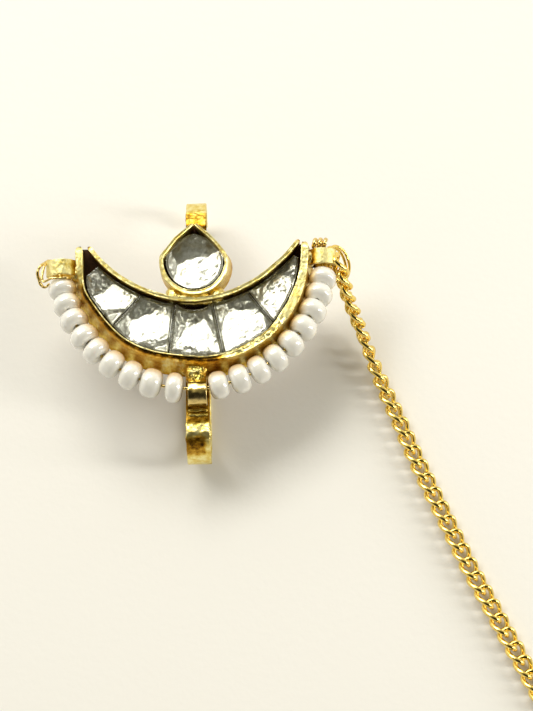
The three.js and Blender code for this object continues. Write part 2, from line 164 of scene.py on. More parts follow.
def rounded(corners, steps=4):
    """A section's outline from corners of x, y and rounding."""
    points = np.array([c[:2] for c in corners], float)
    outline = []
    for i, (_, _, rounding) in enumerate(corners):
        here = points[i]
        if rounding == 0:
            outline.append(here)
            continue
        before, after = points[i - 1] - here, points[(i + 1) % len(points)] - here
        start = here + before / np.linalg.norm(before) * rounding
        end = here + after / np.linalg.norm(after) * rounding
        for t in np.linspace(0, 1, steps):
            outline.append((1 - t) ** 2 * start + 2 * t * (1 - t) * here + t * t * end)
    return np.array(outline)


def full_turn(count):
    """Even angles round a circle, in radians."""
    return np.linspace(0, 2 * math.pi, count, endpoint=False)


def arc_about(circle, reach, turn):
    """Points about a circle's centre, by their reach from it and their angle in radians."""
    return np.stack([circle["x"] + reach * np.cos(turn), circle["y"] + reach * np.sin(turn)], 1)


def at_height(places, height):
    """Flat places with a height, or with a height for each."""
    height = np.broadcast_to(height, places.shape[:-1])
    return np.concatenate([places, height[..., None]], -1)


UPWARDS = (0.0, 0.0, 1.0)
SIDEWAYS = (1.0, 0.0, 0.0)


def sweep(path, outward, up, sections, joined=False):
    """A shell along a path, from sections of distances along outward and along up."""
    up = np.broadcast_to(up, path.shape)
    sections = np.broadcast_to(sections, (len(path),) + sections.shape[-2:])
    rings = (path[:, None] + sections[..., :1] * outward[:, None] + sections[..., 1:] * up[:, None])
    return skin(rings, joined)


def lengths_along(points):
    """How far each point is from the start, along the line."""
    steps = np.linalg.norm(np.diff(points, axis=0), axis=1)
    return np.concatenate([[0], np.cumsum(steps)])


def evenly(points, step):
    """The same line with points at an even step."""
    along = lengths_along(points)
    at = np.linspace(0, along[-1], max(2, int(round(along[-1] / step)) + 1))
    return np.stack([np.interp(at, along, points[:, k]) for k in range(points.shape[1])], 1)


def spline(points, closed=False, detail=24):
    """A smooth line through the points."""
    points = np.array(points, float)
    if closed:
        padded = np.concatenate([points[-1:], points, points[:2]])
    else:
        padded = np.concatenate([2 * points[:1] - points[1:2], points, 2 * points[-1:] - points[-2:-1]])
    t = np.linspace(0, 1, detail, endpoint=False)[:, None]
    pieces = []
    for a, b, c, d in zip(padded, padded[1:], padded[2:], padded[3:]):
        pieces.append(0.5 * (2 * b + (c - a) * t + (2 * a - 5 * b + 4 * c - d) * t ** 2
                             + (3 * b - a - 3 * c + d) * t ** 3))
    pieces.append(padded[-2:-1])
    return np.concatenate(pieces)


def unit(vectors):
    return vectors / np.linalg.norm(vectors, axis=-1, keepdims=True)


def frames_along(line):
    """Directions along, beside and across a line, turned as little as the line lets them."""
    along = unit(np.gradient(line, axis=0))
    beside = np.zeros_like(along)
    start = np.cross(along[0], (0.3, 0.2, 1.0))
    for i, direction in enumerate(along):
        start = start - direction * (start @ direction)
        start = start / np.linalg.norm(start)
        beside[i] = start
    return along, beside, np.cross(along, beside)


def wire(line, radius, sides=14, step=0.08, round_ends=True):
    """A round wire along a line, with its ends rounded off by the cutter."""
    line = evenly(np.array(line, float), step)
    _, beside, across = frames_along(line)
    reach = lengths_along(line)
    thickness = np.full(len(line), radius)
    if round_ends:
        from_end = np.minimum(reach, reach[-1] - reach) / radius
        thickness = radius * np.sqrt(np.clip(1 - (1 - np.clip(from_end, 0, 1)) ** 2, 0.02, 1))
    turn = full_turn(sides)
    circle = np.stack([np.cos(turn), np.sin(turn)], 1)[None] * thickness[:, None, None]
    return sweep(line, beside, across, circle)


def lumps(points, size, seed=0.0):
    """Smooth noise between about -1 and 1 at each point, with lumps of a size in millimetres."""
    offset = Vector((seed * 17.3, seed * 5.1, seed * 9.7))
    return np.array([noise.noise(Vector(p) / size + offset) for p in points])


def strip_lumps(reach, row, size, seed):
    """Noise along one row of a strip."""
    return lumps(np.stack([reach, np.full_like(reach, row), 0 * reach], 1), size, seed)


def between(low, high, values):
    """0 below low, 1 above high, and a smooth step from one to the other."""
    t = np.clip((np.asarray(values, float) - low) / (high - low), 0, 1)
    return t * t * (3 - 2 * t)


def join_shells(shells):
    """All the shells' points and faces, and each face's material number."""
    points, faces, numbers = [], [], []
    start = 0
    for shell in shells:
        points.append(shell[0])
        faces += [[start + i for i in face] for face in shell[1]]
        numbers += list(shell[2]) if len(shell) > 2 else [0] * len(shell[1])
        start += len(shell[0])
    return np.concatenate(points), faces, numbers


def dented(mesh, points, dents):
    """The points, moved along the mesh's normals by each row of dents."""
    normals = np.zeros(len(points) * 3)
    mesh.vertex_normals.foreach_get("vector", normals)
    normals = normals.reshape(-1, 3)
    for size, height, seed in dents:
        reach = height(points) if callable(height) else height
        points = points + normals * (lumps(points, size, seed) * reach)[:, None]
    return points


def make_piece(name, shells, materials, slot, nodes, dents=(), patina=None, sharp=50):
    """One visible piece from shells of points, faces and, where there are several, a material's number.

    dents are rows of a lump size, a height and a seed, and the height may be a function of the points.
    Each point's tint, from 0 to 1, comes from a function of the points: the materials show it as stains
    and as painted shade and painted reflected light. Edges sharper than sharp degrees show.
    """
    points, faces, numbers = join_shells(shells)
    mesh = bpy.data.meshes.new(name)
    mesh.from_pydata((points * MM).tolist(), [], faces)
    mesh.polygons.foreach_set("material_index", numbers)
    points = dented(mesh, points, dents)
    tint = np.zeros(len(points)) if patina is None else np.clip(patina(points), 0, 1)
    placed = (points + (0, SHIFT_Y, 0)) * MM
    mesh.vertices.foreach_set("co", placed.ravel())
    mesh.attributes.new("patina", "FLOAT", "POINT").data.foreach_set("value", tint)
    mesh.shade_smooth()
    mesh.set_sharp_from_angle(angle=sharp * DEGREE)
    for material in materials:
        mesh.materials.append(material)
    mesh.update()
    piece = bpy.data.objects.new(name, mesh)
    bpy.context.scene.collection.objects.link(piece)
    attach(piece, "root")
    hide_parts(*nodes)
    return piece


def make_setting_piece(name, shells, materials, **looks):
    """A piece of the soldered setting."""
    make_piece(name, shells, materials, "gold_setting", ["setting_frame"], **looks)


# ---- Materials ----------------------------------------------------------------------------------

def colour(hex_code):
    """An sRGB hex colour as linear red, green, blue and alpha."""
    parts = [int(hex_code[i:i + 2], 16) / 255 for i in (1, 3, 5)]
    return [p / 12.92 if p <= 0.04045 else ((p + 0.055) / 1.055) ** 2.4 for p in parts] + [1.0]


def per_metre(size):
    """A texture's scale for features of a size in millimetres."""
    return 1 / (size * MM)


def add_node(tree, kind, values=None, **settings):
    """Adds a node, sets its properties, and sets or links its inputs."""
    node = tree.nodes.new(kind)
    for name, value in settings.items():
        setattr(node, name, value)
    for name, value in (values or {}).items():
        if isinstance(value, bpy.types.NodeSocket):
            tree.links.new(value, node.inputs[name])
        else:
            node.inputs[name].default_value = value
    return node


def new_material(name):
    """An empty material, with its node tree and its place coordinates."""
    material = bpy.data.materials.new(name)
    material.use_nodes = True
    tree = material.node_tree
    tree.nodes.clear()
    return material, tree, add_node(tree, "ShaderNodeTexCoord").outputs["Object"]


def finish_material(tree, shader):
    add_node(tree, "ShaderNodeOutputMaterial", {"Surface": shader.outputs["BSDF"]})


def matt_gold_plate(name, dullness, roughening):
    """Gold plating over hand-worked brass, rubbed matt: pale on its worn edges, and amber to brown in the
    corners and low down, which is shade painted into its colour, with a fine hammered and sanded grain.
    Where solder ran over it the grain stands deeper and sparkles."""
    material, tree, place = new_material(name)
    patina = add_node(tree, "ShaderNodeAttribute", attribute_name="patina").outputs["Fac"]
    cloud = add_node(tree, "ShaderNodeTexNoise", {
        "Vector": place, "Scale": per_metre(0.7), "Detail": 5.0, "Roughness": 0.65})
    grain = add_node(tree, "ShaderNodeTexNoise", {
        "Vector": place, "Scale": per_metre(0.17), "Detail": 4.0, "Roughness": 0.7})
    dents = add_node(tree, "ShaderNodeTexVoronoi", {
        "Vector": place, "Scale": per_metre(0.36), "Randomness": 1.0}, feature="SMOOTH_F1")
    uneven = add_node(tree, "ShaderNodeMath", {0: cloud.outputs["Fac"], 1: 0.5}, operation="SUBTRACT")
    # The piece's tint, which is painted shade, with random clouding, takes the gold from pale to brown.
    tone_and_painted_shade = add_node(tree, "ShaderNodeMath", {0: uneven.outputs[0], 1: 1.5, 2: patina},
                    operation="MULTIPLY_ADD", use_clamp=True)
    tone = add_node(tree, "ShaderNodeValToRGB", {"Fac": tone_and_painted_shade.outputs[0]})
    ramp = tone.color_ramp
    ramp.elements[0].position, ramp.elements[0].color = 0.0, colour("#F2E6A4")
    ramp.elements[1].position, ramp.elements[1].color = 1.0, colour("#3A2606")
    ramp.elements.new(0.28).color = colour("#E4CB68")
    ramp.elements.new(0.6).color = colour("#C69A32")
    ramp.elements.new(0.82).color = colour("#926614")
    dull = add_node(tree, "ShaderNodeMapRange", {
        "Value": grain.outputs["Fac"], "From Min": 0.3, "From Max": 0.7,
        "To Min": dullness - 0.1, "To Max": dullness + 0.1})
    height = add_node(tree, "ShaderNodeMath", {
        0: grain.outputs["Fac"], 1: 0.7, 2: dents.outputs["Distance"]}, operation="MULTIPLY_ADD")
    bump = add_node(tree, "ShaderNodeBump", {
        "Height": height.outputs[0], "Strength": roughening, "Distance": 0.05 * MM})
    finish_material(tree, add_node(tree, "ShaderNodeBsdfPrincipled", {
        "Base Color": tone.outputs["Color"], "Metallic": 1.0, "Roughness": dull.outputs["Result"],
        "Normal": bump.outputs["Normal"]}))
    return material


def dark_lac():
    """The black-brown lac resin that fills the trays under the stones, seen in the gaps: dull, with a
    faint waxy shine."""
    material, tree, place = new_material("dark_lac")
    lumpy = add_node(tree, "ShaderNodeTexNoise", {
        "Vector": place, "Scale": per_metre(0.35), "Detail": 4.0, "Roughness": 0.6})
    tone = add_node(tree, "ShaderNodeMix", {
        "Factor": lumpy.outputs["Fac"], "A": colour("#150A02"), "B": colour("#4A2C0A")},
        data_type="RGBA")
    bump = add_node(tree, "ShaderNodeBump", {
        "Height": lumpy.outputs["Fac"], "Strength": 0.6, "Distance": 0.12 * MM})
    finish_material(tree, add_node(tree, "ShaderNodeBsdfPrincipled", {
        "Base Color": tone.outputs["Result"], "Roughness": 0.8, "Specular IOR Level": 0.2,
        "Normal": bump.outputs["Normal"]}))
    return material


def drawn_gold_wire(name, tone, dullness):
    """Gold-plated wire and links: drawn smooth and tumbled bright, so it mirrors light and dark in
    sharp streaks, with fine die lines and a few duller spots."""
    material, tree, place = new_material(name)
    spots = add_node(tree, "ShaderNodeTexNoise", {
        "Vector": place, "Scale": per_metre(0.6), "Detail": 3.0, "Roughness": 0.55})
    dull = add_node(tree, "ShaderNodeMapRange", {
        "Value": spots.outputs["Fac"], "From Min": 0.3, "From Max": 0.75,
        "To Min": dullness, "To Max": dullness + 0.12})
    shade = add_node(tree, "ShaderNodeMapRange", {
        "Value": spots.outputs["Fac"], "From Min": 0.35, "From Max": 0.7, "To Min": 0.9, "To Max": 1.05})
    warm = add_node(tree, "ShaderNodeHueSaturation", {
        "Color": colour(tone), "Value": shade.outputs["Result"]})
    lines = add_node(tree, "ShaderNodeTexNoise", {
        "Vector": place, "Scale": per_metre(0.12), "Detail": 2.0})
    bump = add_node(tree, "ShaderNodeBump", {
        "Height": lines.outputs["Fac"], "Strength": 0.25, "Distance": 0.01 * MM})
    finish_material(tree, add_node(tree, "ShaderNodeBsdfPrincipled", {
        "Base Color": warm.outputs["Color"], "Metallic": 1.0, "Roughness": dull.outputs["Result"],
        "Normal": bump.outputs["Normal"]}))
    return material


def cut_glass():
    """Clear glass, cut flat by hand: it shines sharply, and its lightly waved face bends the foil."""
    material, tree, place = new_material("cut_glass")
    waves = add_node(tree, "ShaderNodeTexNoise", {
        "Vector": place, "Scale": per_metre(1.6), "Detail": 1.0})
    bump = add_node(tree, "ShaderNodeBump", {
        "Height": waves.outputs["Fac"], "Strength": 0.4, "Distance": 0.06 * MM})
    finish_material(tree, add_node(tree, "ShaderNodeBsdfPrincipled", {
        "Base Color": colour("#FAFBF6"), "Roughness": 0.02, "IOR": 1.52, "Transmission Weight": 1.0,
        "Normal": bump.outputs["Normal"]}))
    return material


def silver_foil():
    """Thin silver foil pressed up behind the glass: bright, creased, and grey-green where the lac
    below has stained it, and where the shadow of the tray's wall is painted on it."""
    material, tree, place = new_material("silver_foil")
    stain_and_painted_shade = add_node(tree, "ShaderNodeAttribute", attribute_name="patina").outputs["Fac"]
    crease = add_node(tree, "ShaderNodeTexVoronoi", {
        "Vector": place, "Scale": per_metre(0.55), "Randomness": 1.0}, feature="F1")
    fine = add_node(tree, "ShaderNodeTexNoise", {
        "Vector": place, "Scale": per_metre(0.3), "Detail": 4.0, "Roughness": 0.6})
    uneven = add_node(tree, "ShaderNodeMath", {0: fine.outputs["Fac"], 1: 0.5}, operation="SUBTRACT")
    # The stone's tint gives both the lac's stain and painted shade.
    soil = add_node(tree, "ShaderNodeMath", {0: uneven.outputs[0], 1: 1.1, 2: stain_and_painted_shade},
                    operation="MULTIPLY_ADD", use_clamp=True)
    tone = add_node(tree, "ShaderNodeValToRGB", {"Fac": soil.outputs[0]})
    ramp = tone.color_ramp
    ramp.elements[0].position, ramp.elements[0].color = 0.0, colour("#F0F0E8")
    ramp.elements[1].position, ramp.elements[1].color = 1.0, colour("#8E8658")
    height = add_node(tree, "ShaderNodeMath", {
        0: fine.outputs["Fac"], 1: 0.5, 2: crease.outputs["Distance"]}, operation="MULTIPLY_ADD")
    bump = add_node(tree, "ShaderNodeBump", {
        "Height": height.outputs[0], "Strength": 0.4, "Distance": 0.045 * MM})
    finish_material(tree, add_node(tree, "ShaderNodeBsdfPrincipled", {
        "Base Color": tone.outputs["Color"], "Metallic": 0.8, "Roughness": 0.3,
        "Normal": bump.outputs["Normal"]}))
    return material


def pearl_glass():
    """Opaque white glass with a pearly glaze: milky and slightly see-through at its edge, under a hard
    wet shine. On the side that faces the gold, the gold's reflected light is painted in as a warm tint."""
    material, tree, place = new_material("pearl_glass")
    painted_gold_bounce = add_node(tree, "ShaderNodeAttribute", attribute_name="patina").outputs["Fac"]
    cloud = add_node(tree, "ShaderNodeTexNoise", {
        "Vector": place, "Scale": per_metre(1.4), "Detail": 2.0})
    milky = add_node(tree, "ShaderNodeMix", {
        "Factor": cloud.outputs["Fac"], "A": colour("#EFECE2"), "B": colour("#E4E1D6")},
        data_type="RGBA")
    # A painted reflection: the gold's warm light mixed into the colour on the side that faces it.
    warm = add_node(tree, "ShaderNodeMix", {
        "Factor": painted_gold_bounce, "A": milky.outputs["Result"], "B": colour("#E6C48E")},
        data_type="RGBA")
    finish_material(tree, add_node(tree, "ShaderNodeBsdfPrincipled", {
        "Base Color": warm.outputs["Result"], "Roughness": 0.3, "IOR": 1.6,
        "Subsurface Weight": 0.5, "Subsurface Radius": (1.0, 0.95, 0.85),
        "Subsurface Scale": 0.8 * MM, "Coat Weight": 1.0, "Coat Roughness": 0.02,
        "Coat IOR": 2.1}))
    return material


def plain_paper():
    """The matt off-white paper of the floor."""
    material, tree, place = new_material("plain_paper")
    fibres = add_node(tree, "ShaderNodeTexNoise", {
        "Vector": place, "Scale": per_metre(0.8), "Detail": 4.0})
    bump = add_node(tree, "ShaderNodeBump", {
        "Height": fibres.outputs["Fac"], "Strength": 0.25, "Distance": 0.1 * MM})
    finish_material(tree, add_node(tree, "ShaderNodeBsdfPrincipled", {
        "Base Color": colour("#EFECE4"), "Roughness": 0.85, "Normal": bump.outputs["Normal"]}))
    return material


GOLD = matt_gold_plate("matt_gold_plate", 0.38, 0.5)
# Solder that was left as it froze: it sparkles from many small, shiny facets.
ROUGH_GOLD = matt_gold_plate("rough_gold_solder", 0.3, 1.0)
# Sanded strip, for the ears: the light lies broad and soft on it, over a coarse grain.
SANDED_GOLD = matt_gold_plate("sanded_gold_plate", 0.5, 0.9)
WIRE_GOLD = drawn_gold_wire("drawn_gold_wire", "#E9CE84", 0.14)
CHAIN_GOLD = drawn_gold_wire("tumbled_gold_links", "#F6D878", 0.06)
LAC = dark_lac()
GLASS = cut_glass()
FOIL = silver_foil()
PEARL = pearl_glass()


# ---- Camera, floor and light --------------------------------------------------------------------

# A long lens, nearly above the stones' face. pitch and roll are in degrees, and near and far in metres.
CAMERA = {"aim": (7.0, -1.55, 9.0), "distance": 200, "lens": 101.3, "pitch": 12.5, "roll": -1.3,
          "near": 0.01, "far": 20}
FLOOR_HALF = 1.5  # metres
LIGHT_AIM = (3, 0, 6)
WINDOW = (-0.35, 0.6, 0.8)
SOFT_BOXES = {
    "window": {"direction": WINDOW, "distance": 320, "width": 290, "height": 105, "power": 0.82,
               "tone": "#FFFEFB"},
    "side_light": {"direction": (0.95, -0.1, 0.5), "distance": 300, "width": 42, "height": 200,
                   "power": 0.42, "tone": "#FFFDF8"},
}
# The black flag, and the window's spill on the room. Each fades from its edge to its core, which are
# cosines of the angle from its direction. left is the light that the flag lets by.
FLAG = {"direction": (0.0, -0.5, 0.866), "edge": 0.66, "core": 0.88, "left": 0.1}
SPILL = {"edge": 0.75, "core": 0.98}


def make_camera():
    aim = Vector(CAMERA["aim"]) * MM
    data = bpy.data.cameras.new("camera")
    data.lens = CAMERA["lens"]
    data.clip_start, data.clip_end = CAMERA["near"], CAMERA["far"]
    camera = bpy.data.objects.new("camera", data)
    camera.rotation_euler = Euler((CAMERA["pitch"] * DEGREE, 0, CAMERA["roll"] * DEGREE))
    back = camera.rotation_euler.to_matrix() @ Vector((0, 0, CAMERA["distance"] * MM))
    camera.location = aim + back
    bpy.context.scene.collection.objects.link(camera)
    bpy.context.scene.camera = camera


def make_floor():
    corners = [(x * FLOOR_HALF, y * FLOOR_HALF, 0) for x, y in ((-1, -1), (1, -1), (1, 1), (-1, 1))]
    mesh = bpy.data.meshes.new("floor")
    mesh.from_pydata(corners, [], [(0, 1, 2, 3)])
    mesh.materials.append(plain_paper())
    floor = bpy.data.objects.new("floor", mesh)
    bpy.context.scene.collection.objects.link(floor)


def soft_box(name, direction, distance, width, height, power, tone):
    """An oblong soft box that faces the nath from a direction."""
    data = bpy.data.lights.new(name, "AREA")
    data.shape = "RECTANGLE"
    data.size, data.size_y = width * MM, height * MM
    data.energy = power
    data.color = colour(tone)[:3]
    light = bpy.data.objects.new(name, data)
    aim = Vector(LIGHT_AIM) * MM
    light.location = aim + Vector(direction).normalized() * distance * MM
    light.rotation_euler = (light.location - aim).to_track_quat("Z", "Y").to_euler()
    bpy.context.scene.collection.objects.link(light)


def make_world():
    """A pale room: bright towards the window, with a black flag overhead on the clip's side."""
    world = bpy.data.worlds.new("room")
    world.use_nodes = True
    tree = world.node_tree
    tree.nodes.clear()
    where = add_node(tree, "ShaderNodeTexCoord").outputs["Generated"]
    split = add_node(tree, "ShaderNodeSeparateXYZ", {"Vector": where})
    height = add_node(tree, "ShaderNodeValToRGB", {"Fac": split.outputs["Z"]})
    ramp = height.color_ramp
    ramp.elements[0].position, ramp.elements[0].color = 0.0, colour("#F4F0E8")
    ramp.elements[1].position, ramp.elements[1].color = 1.0, colour("#7A7862")
    ramp.elements.new(0.4).color = colour("#EAE7E0")
    ramp.elements.new(0.75).color = colour("#9A9784")
    side = add_node(tree, "ShaderNodeMapRange", {
        "Value": split.outputs["Y"], "From Min": -0.6, "From Max": 0.7, "To Min": 0.75, "To Max": 1.2})
    to_flag = add_node(tree, "ShaderNodeVectorMath", {0: where, 1: FLAG["direction"]},
                       operation="DOT_PRODUCT")
    flag = add_node(tree, "ShaderNodeMapRange", {
        "Value": to_flag.outputs["Value"], "From Min": FLAG["edge"], "From Max": FLAG["core"],
        "To Min": 1.0, "To Max": FLAG["left"]}, interpolation_type="SMOOTHSTEP")
    to_window = add_node(tree, "ShaderNodeVectorMath", {
        0: where, 1: Vector(WINDOW).normalized()}, operation="DOT_PRODUCT")
    spill = add_node(tree, "ShaderNodeMapRange", {
        "Value": to_window.outputs["Value"], "From Min": SPILL["edge"], "From Max": SPILL["core"],
        "To Min": 0.0, "To Max": 1.0}, interpolation_type="SMOOTHSTEP")
    strength = add_node(tree, "ShaderNodeMath", {
        0: side.outputs["Result"], 1: flag.outputs["Result"], 2: spill.outputs["Result"]},
        operation="MULTIPLY_ADD")
    room = add_node(tree, "ShaderNodeBackground", {
        "Color": height.outputs["Color"], "Strength": strength.outputs[0]})
    add_node(tree, "ShaderNodeOutputWorld", {"Surface": room.outputs["Background"]})
    bpy.context.scene.world = world


make_camera()
make_floor()
make_world()
for box_name, box in SOFT_BOXES.items():
    soft_box(box_name, **box)
bpy.context.scene.view_settings.view_transform = "Standard"


# ---- The soldered setting -----------------------------------------------------------------------

LIP = 0.13  # the burnished lip's width


def rim_section(width, top, base, ledge, groove=0.03):
    """A wall's section, from its inner face outwards.

    width is the rim's and base the wall's at its foot. The rim has a burnished lip along its inner
    edge, and falls by ledge outside it.
    """
    low = BASE + 0.1
    inner = [(0, low), (0, low + 0.8), (0, top - 0.35), (0, top - 0.04), (0.015, top - 0.012)]
    lip = [(0.04, top), (LIP - 0.04, top), (LIP - 0.01, top - 0.015 - ledge * 0.1),
           (LIP + 0.005, top - groove - ledge)]
    share = np.linspace(0, 1, 7)[1:]
    rim = [(LIP + 0.02 + (width - LIP - 0.04) * f, top - ledge - groove * (1 - f)) for f in share]
    edge = [(width + 0.015, top - ledge - 0.035), (width + 0.02, top - ledge - 0.09)]
    foot = base - width
    outer = [(width + 0.02 + foot * f, top - fall)
             for f, fall in ((0.12, 0.5), (0.26, 1.0), (0.44, 1.6), (0.7, 2.2))]
    under = [(base, BASE + 0.04), (base - 0.04, BASE), (0.1, BASE)]
    return np.array(inner + lip + rim + edge + outer + under)


TOP_COLUMNS = slice(3, 17)  # the points of a rim's section that lie on its top


def score(sections, reach, depth, seed, length=1.5):
    """Draws long file marks and small nicks along a strip's rim."""
    sections = sections.copy()
    depth = np.broadcast_to(depth, reach.shape)
    for column in range(sections.shape[1])[TOP_COLUMNS]:
        marks = strip_lumps(reach, column * length * 0.83, length, seed)
        nicks = strip_lumps(reach, column * 0.16, 0.24, seed + 1)
        sections[:, column, 1] += (0.6 * marks + 0.5 * nicks) * depth
    return sections


def round_off(sections, reach, radius):
    """Lowers and narrows the rim at both ends of a strip, as its corners have been filed round."""
    from_end = np.clip(np.minimum(reach, reach[-1] - reach) / radius, 0, 1)
    size = np.sqrt(np.clip(1 - (1 - from_end) ** 2, 0.05, 1))[:, None]
    sections = sections.copy()
    middle = sections[:, TOP_COLUMNS, 0].mean(1, keepdims=True)
    sections[:, :, 0] = middle + (sections[:, :, 0] - middle) * (0.3 + 0.7 * size)
    sections[:, TOP_COLUMNS, 1] -= radius * 0.8 * (1 - size)
    return sections


def arc_strip(centre, radius, angles, outward_sign, section_at, depth_at, seed):
    """A wall strip along an arc about a centre, from the radius of its inner face."""
    turn = angles * DEGREE
    radial = np.stack([np.cos(turn), np.sin(turn), np.zeros_like(turn)], 1)
    path = np.array([centre[0], centre[1], 0.0]) + radial * radius[:, None]
    reach = lengths_along(path)
    sections = np.array([section_at(angle) for angle in angles])
    sections = round_off(score(sections, reach, depth_at(angles), seed), reach, 0.75)
    return sweep(path, radial * outward_sign, UPWARDS, sections)


# The strips are bent by hand: the outer one's reach from the crescent's centre, and how far the hollow's
# one lies inside its circle, by the angle in degrees.
OUTER_REACH = np.array([
    (179, 11.12), (185, 11.08), (190, 11.2), (195, 11.42), (200, 11.66), (205, 11.68), (210, 11.58),
    (216, 11.54), (225, 11.62), (233, 11.7), (240, 11.65), (250, 11.5), (256, 11.37), (262, 11.31),
    (268, 11.34), (275, 11.5), (282, 11.55), (300, 11.48), (310, 11.52), (320, 11.25), (330, 11.1),
    (342, 11.03), (350, 10.92), (361, 10.85),
])
HOLLOW_INSIDE = np.array([(212, 0.1), (240, 0.18), (270, 0.1), (295, 0.32), (312, 0.4), (329, 0.2)])


def outer_reach(angles):
    """The outer strip's reach, evened out over a few degrees."""
    near = [np.interp(angles + step, *OUTER_REACH.T) for step in (-2, -1, 0, 1, 2)]
    return np.mean(near, axis=0)


def hollow_reach(angles):
    """The reach of the hollow's strip, from the hollow's centre to its side at the stones."""
    return HOLLOW["radius"] + WALL - np.interp(angles, *HOLLOW_INSIDE.T)


# The outer rim's width, its foot, its ledge and its rise by the angle round the crescent.
OUTER_RIM = np.array([
    (179, 0.7, 0.85, 0.0, 0.02), (186, 0.76, 0.9, 0.0, 0.02), (191, 0.66, 1.05, 0.0, 0.02),
    (196, 0.48, 1.2, 0.04, 0.0), (200, 0.33, 1.25, 0.16, 0.0), (206, 0.33, 1.3, 0.24, 0.0),
    (250, 0.34, 1.65, 0.24, 0.0), (274, 0.34, 1.75, 0.24, 0.0), (284, 0.45, 1.75, 0.05, 0.0),
    (288, 0.68, 1.7, 0.0, 0.0), (314, 0.7, 1.65, 0.0, 0.0), (321, 0.9, 1.65, 0.0, 0.0),
    (333, 0.92, 1.55, 0.0, -0.02), (345, 0.76, 1.38, 0.0, 0.0), (361, 0.74, 1.2, 0.0, 0.0),
])


def outer_section(angle):
    width, base, ledge, rise = (np.interp(angle, OUTER_RIM[:, 0], OUTER_RIM[:, k]) for k in (1, 2, 3, 4))
    return rim_section(width, RIM + rise, base, ledge)


def hammered(angles):
    """Deep hammer marks on the lower right of the outer rim, and light ones elsewhere."""
    return 0.022 + 0.13 * between(284, 288, angles) * between(321, 316, angles)


def crescent_outline(count, ends=(6.02, 6.1)):
    """Points under the hollow's strip and under the outer one, from the left tip to the right one."""
    sides = []
    for circle, radius in ((HOLLOW, HOLLOW["radius"] + 0.1), (CRESCENT, CRESCENT["radius"] - 0.3)):
        left = math.asin((ends[0] - circle["y"]) / radius)
        right = math.asin((ends[1] - circle["y"]) / radius)
        turn = np.linspace(math.pi - left, 2 * math.pi + right, count)
        reach = radius if circle is HOLLOW else outer_reach(turn / DEGREE) + 0.15
        sides.append(arc_about(circle, reach, turn))
    return sides


def plate(side_a, side_b, low, high, across=14):
    """A thin plate between two lines of points."""
    share = np.linspace(0, 1, across)[None, :, None]
    flat = side_a[:, None] * (1 - share) + side_b[:, None] * share
    rows = [at_height(flat, z) for z in (high, low)]
    return skin(np.concatenate([rows[0], rows[1][:, ::-1]], 1))


def with_material(shell, number):
    return shell[0], shell[1], [number] * len(shell[1])


def solder_splash(points):
    """Where solder ran out along the wall beside the middle loop."""
    away = np.hypot(points[:, 0] + 2.3, (points[:, 1] + 6.3) * 1.6)
    outside = np.linalg.norm(points[:, :2] - (CRESCENT["x"], CRESCENT["y"]), axis=1) - CRESCENT["radius"]
    return between(1.5, 0.9, away) * between(-0.1, 0.1, outside)


def tray_painted_shade(points):
    """Painted shade: darker low on the walls, just under the rim inside, on the ledge outside the lip and
    beside the middle loop. Where solder ran it is lighter, with the solder's grain.
    """
    depth = RIM - points[:, 2]
    from_centre = points[:, :2] - (CRESCENT["x"], CRESCENT["y"])
    angle = np.degrees(np.arctan2(from_centre[:, 1], from_centre[:, 0])) % 360
    outside = np.linalg.norm(from_centre, axis=1) - outer_reach(angle)
    tone_and_painted_shade = 0.06 + 0.2 * between(0.1, 0.5, depth) + 0.2 * between(1.4, 2.4, depth)
    inside = (outside < 0.02) * between(0.08, 0.3, depth) * 0.45
    lipped = between(197, 202, angle) * between(286, 282, angle)
    ledge = 1.1 * lipped * between(0.03, 0.1, depth) * between(0.55, 0.3, depth) * (outside > 0.1)
    beside_loop = between(250, 262, angle) * between(291, 280, angle)
    near_loop = 0.3 * beside_loop * between(0.05, 0.3, depth) * (outside > 0.1)
    splash = solder_splash(points)
    return tone_and_painted_shade + inside + ledge + near_loop - 0.35 * splash + 0.3 * splash * lumps(points, 0.25, 15)


def make_crescent():
    """The tray's two bent strips on their base, which the lac covers."""
    round_outer, round_hollow = np.linspace(179.0, 361.2, 1300), np.linspace(212.7, 328.6, 800)
    outer = arc_strip((CRESCENT["x"], CRESCENT["y"]), outer_reach(round_outer), round_outer, 1,
                      outer_section, hammered, 1)
    hollow = arc_strip((HOLLOW["x"], HOLLOW["y"]), hollow_reach(round_hollow), round_hollow, -1,
                       lambda angle: rim_section(0.43, RIM, 0.45, 0.0),
                       lambda angles: 0.022 + 0 * angles, 3)
    sides = crescent_outline(260)
    floor = plate(*sides, BASE + 0.02, BASE + FLOOR_THICK)
    shells = [outer, hollow, with_material(floor, 1)]

    def splashed(points):
        return 0.07 * solder_splash(points)

    make_setting_piece("crescent_tray", shells, [GOLD, LAC], patina=tray_painted_shade, sharp=35,
                       dents=[(1.3, 0.025, 1), (0.5, 0.01, 2), (0.28, splashed, 3)])


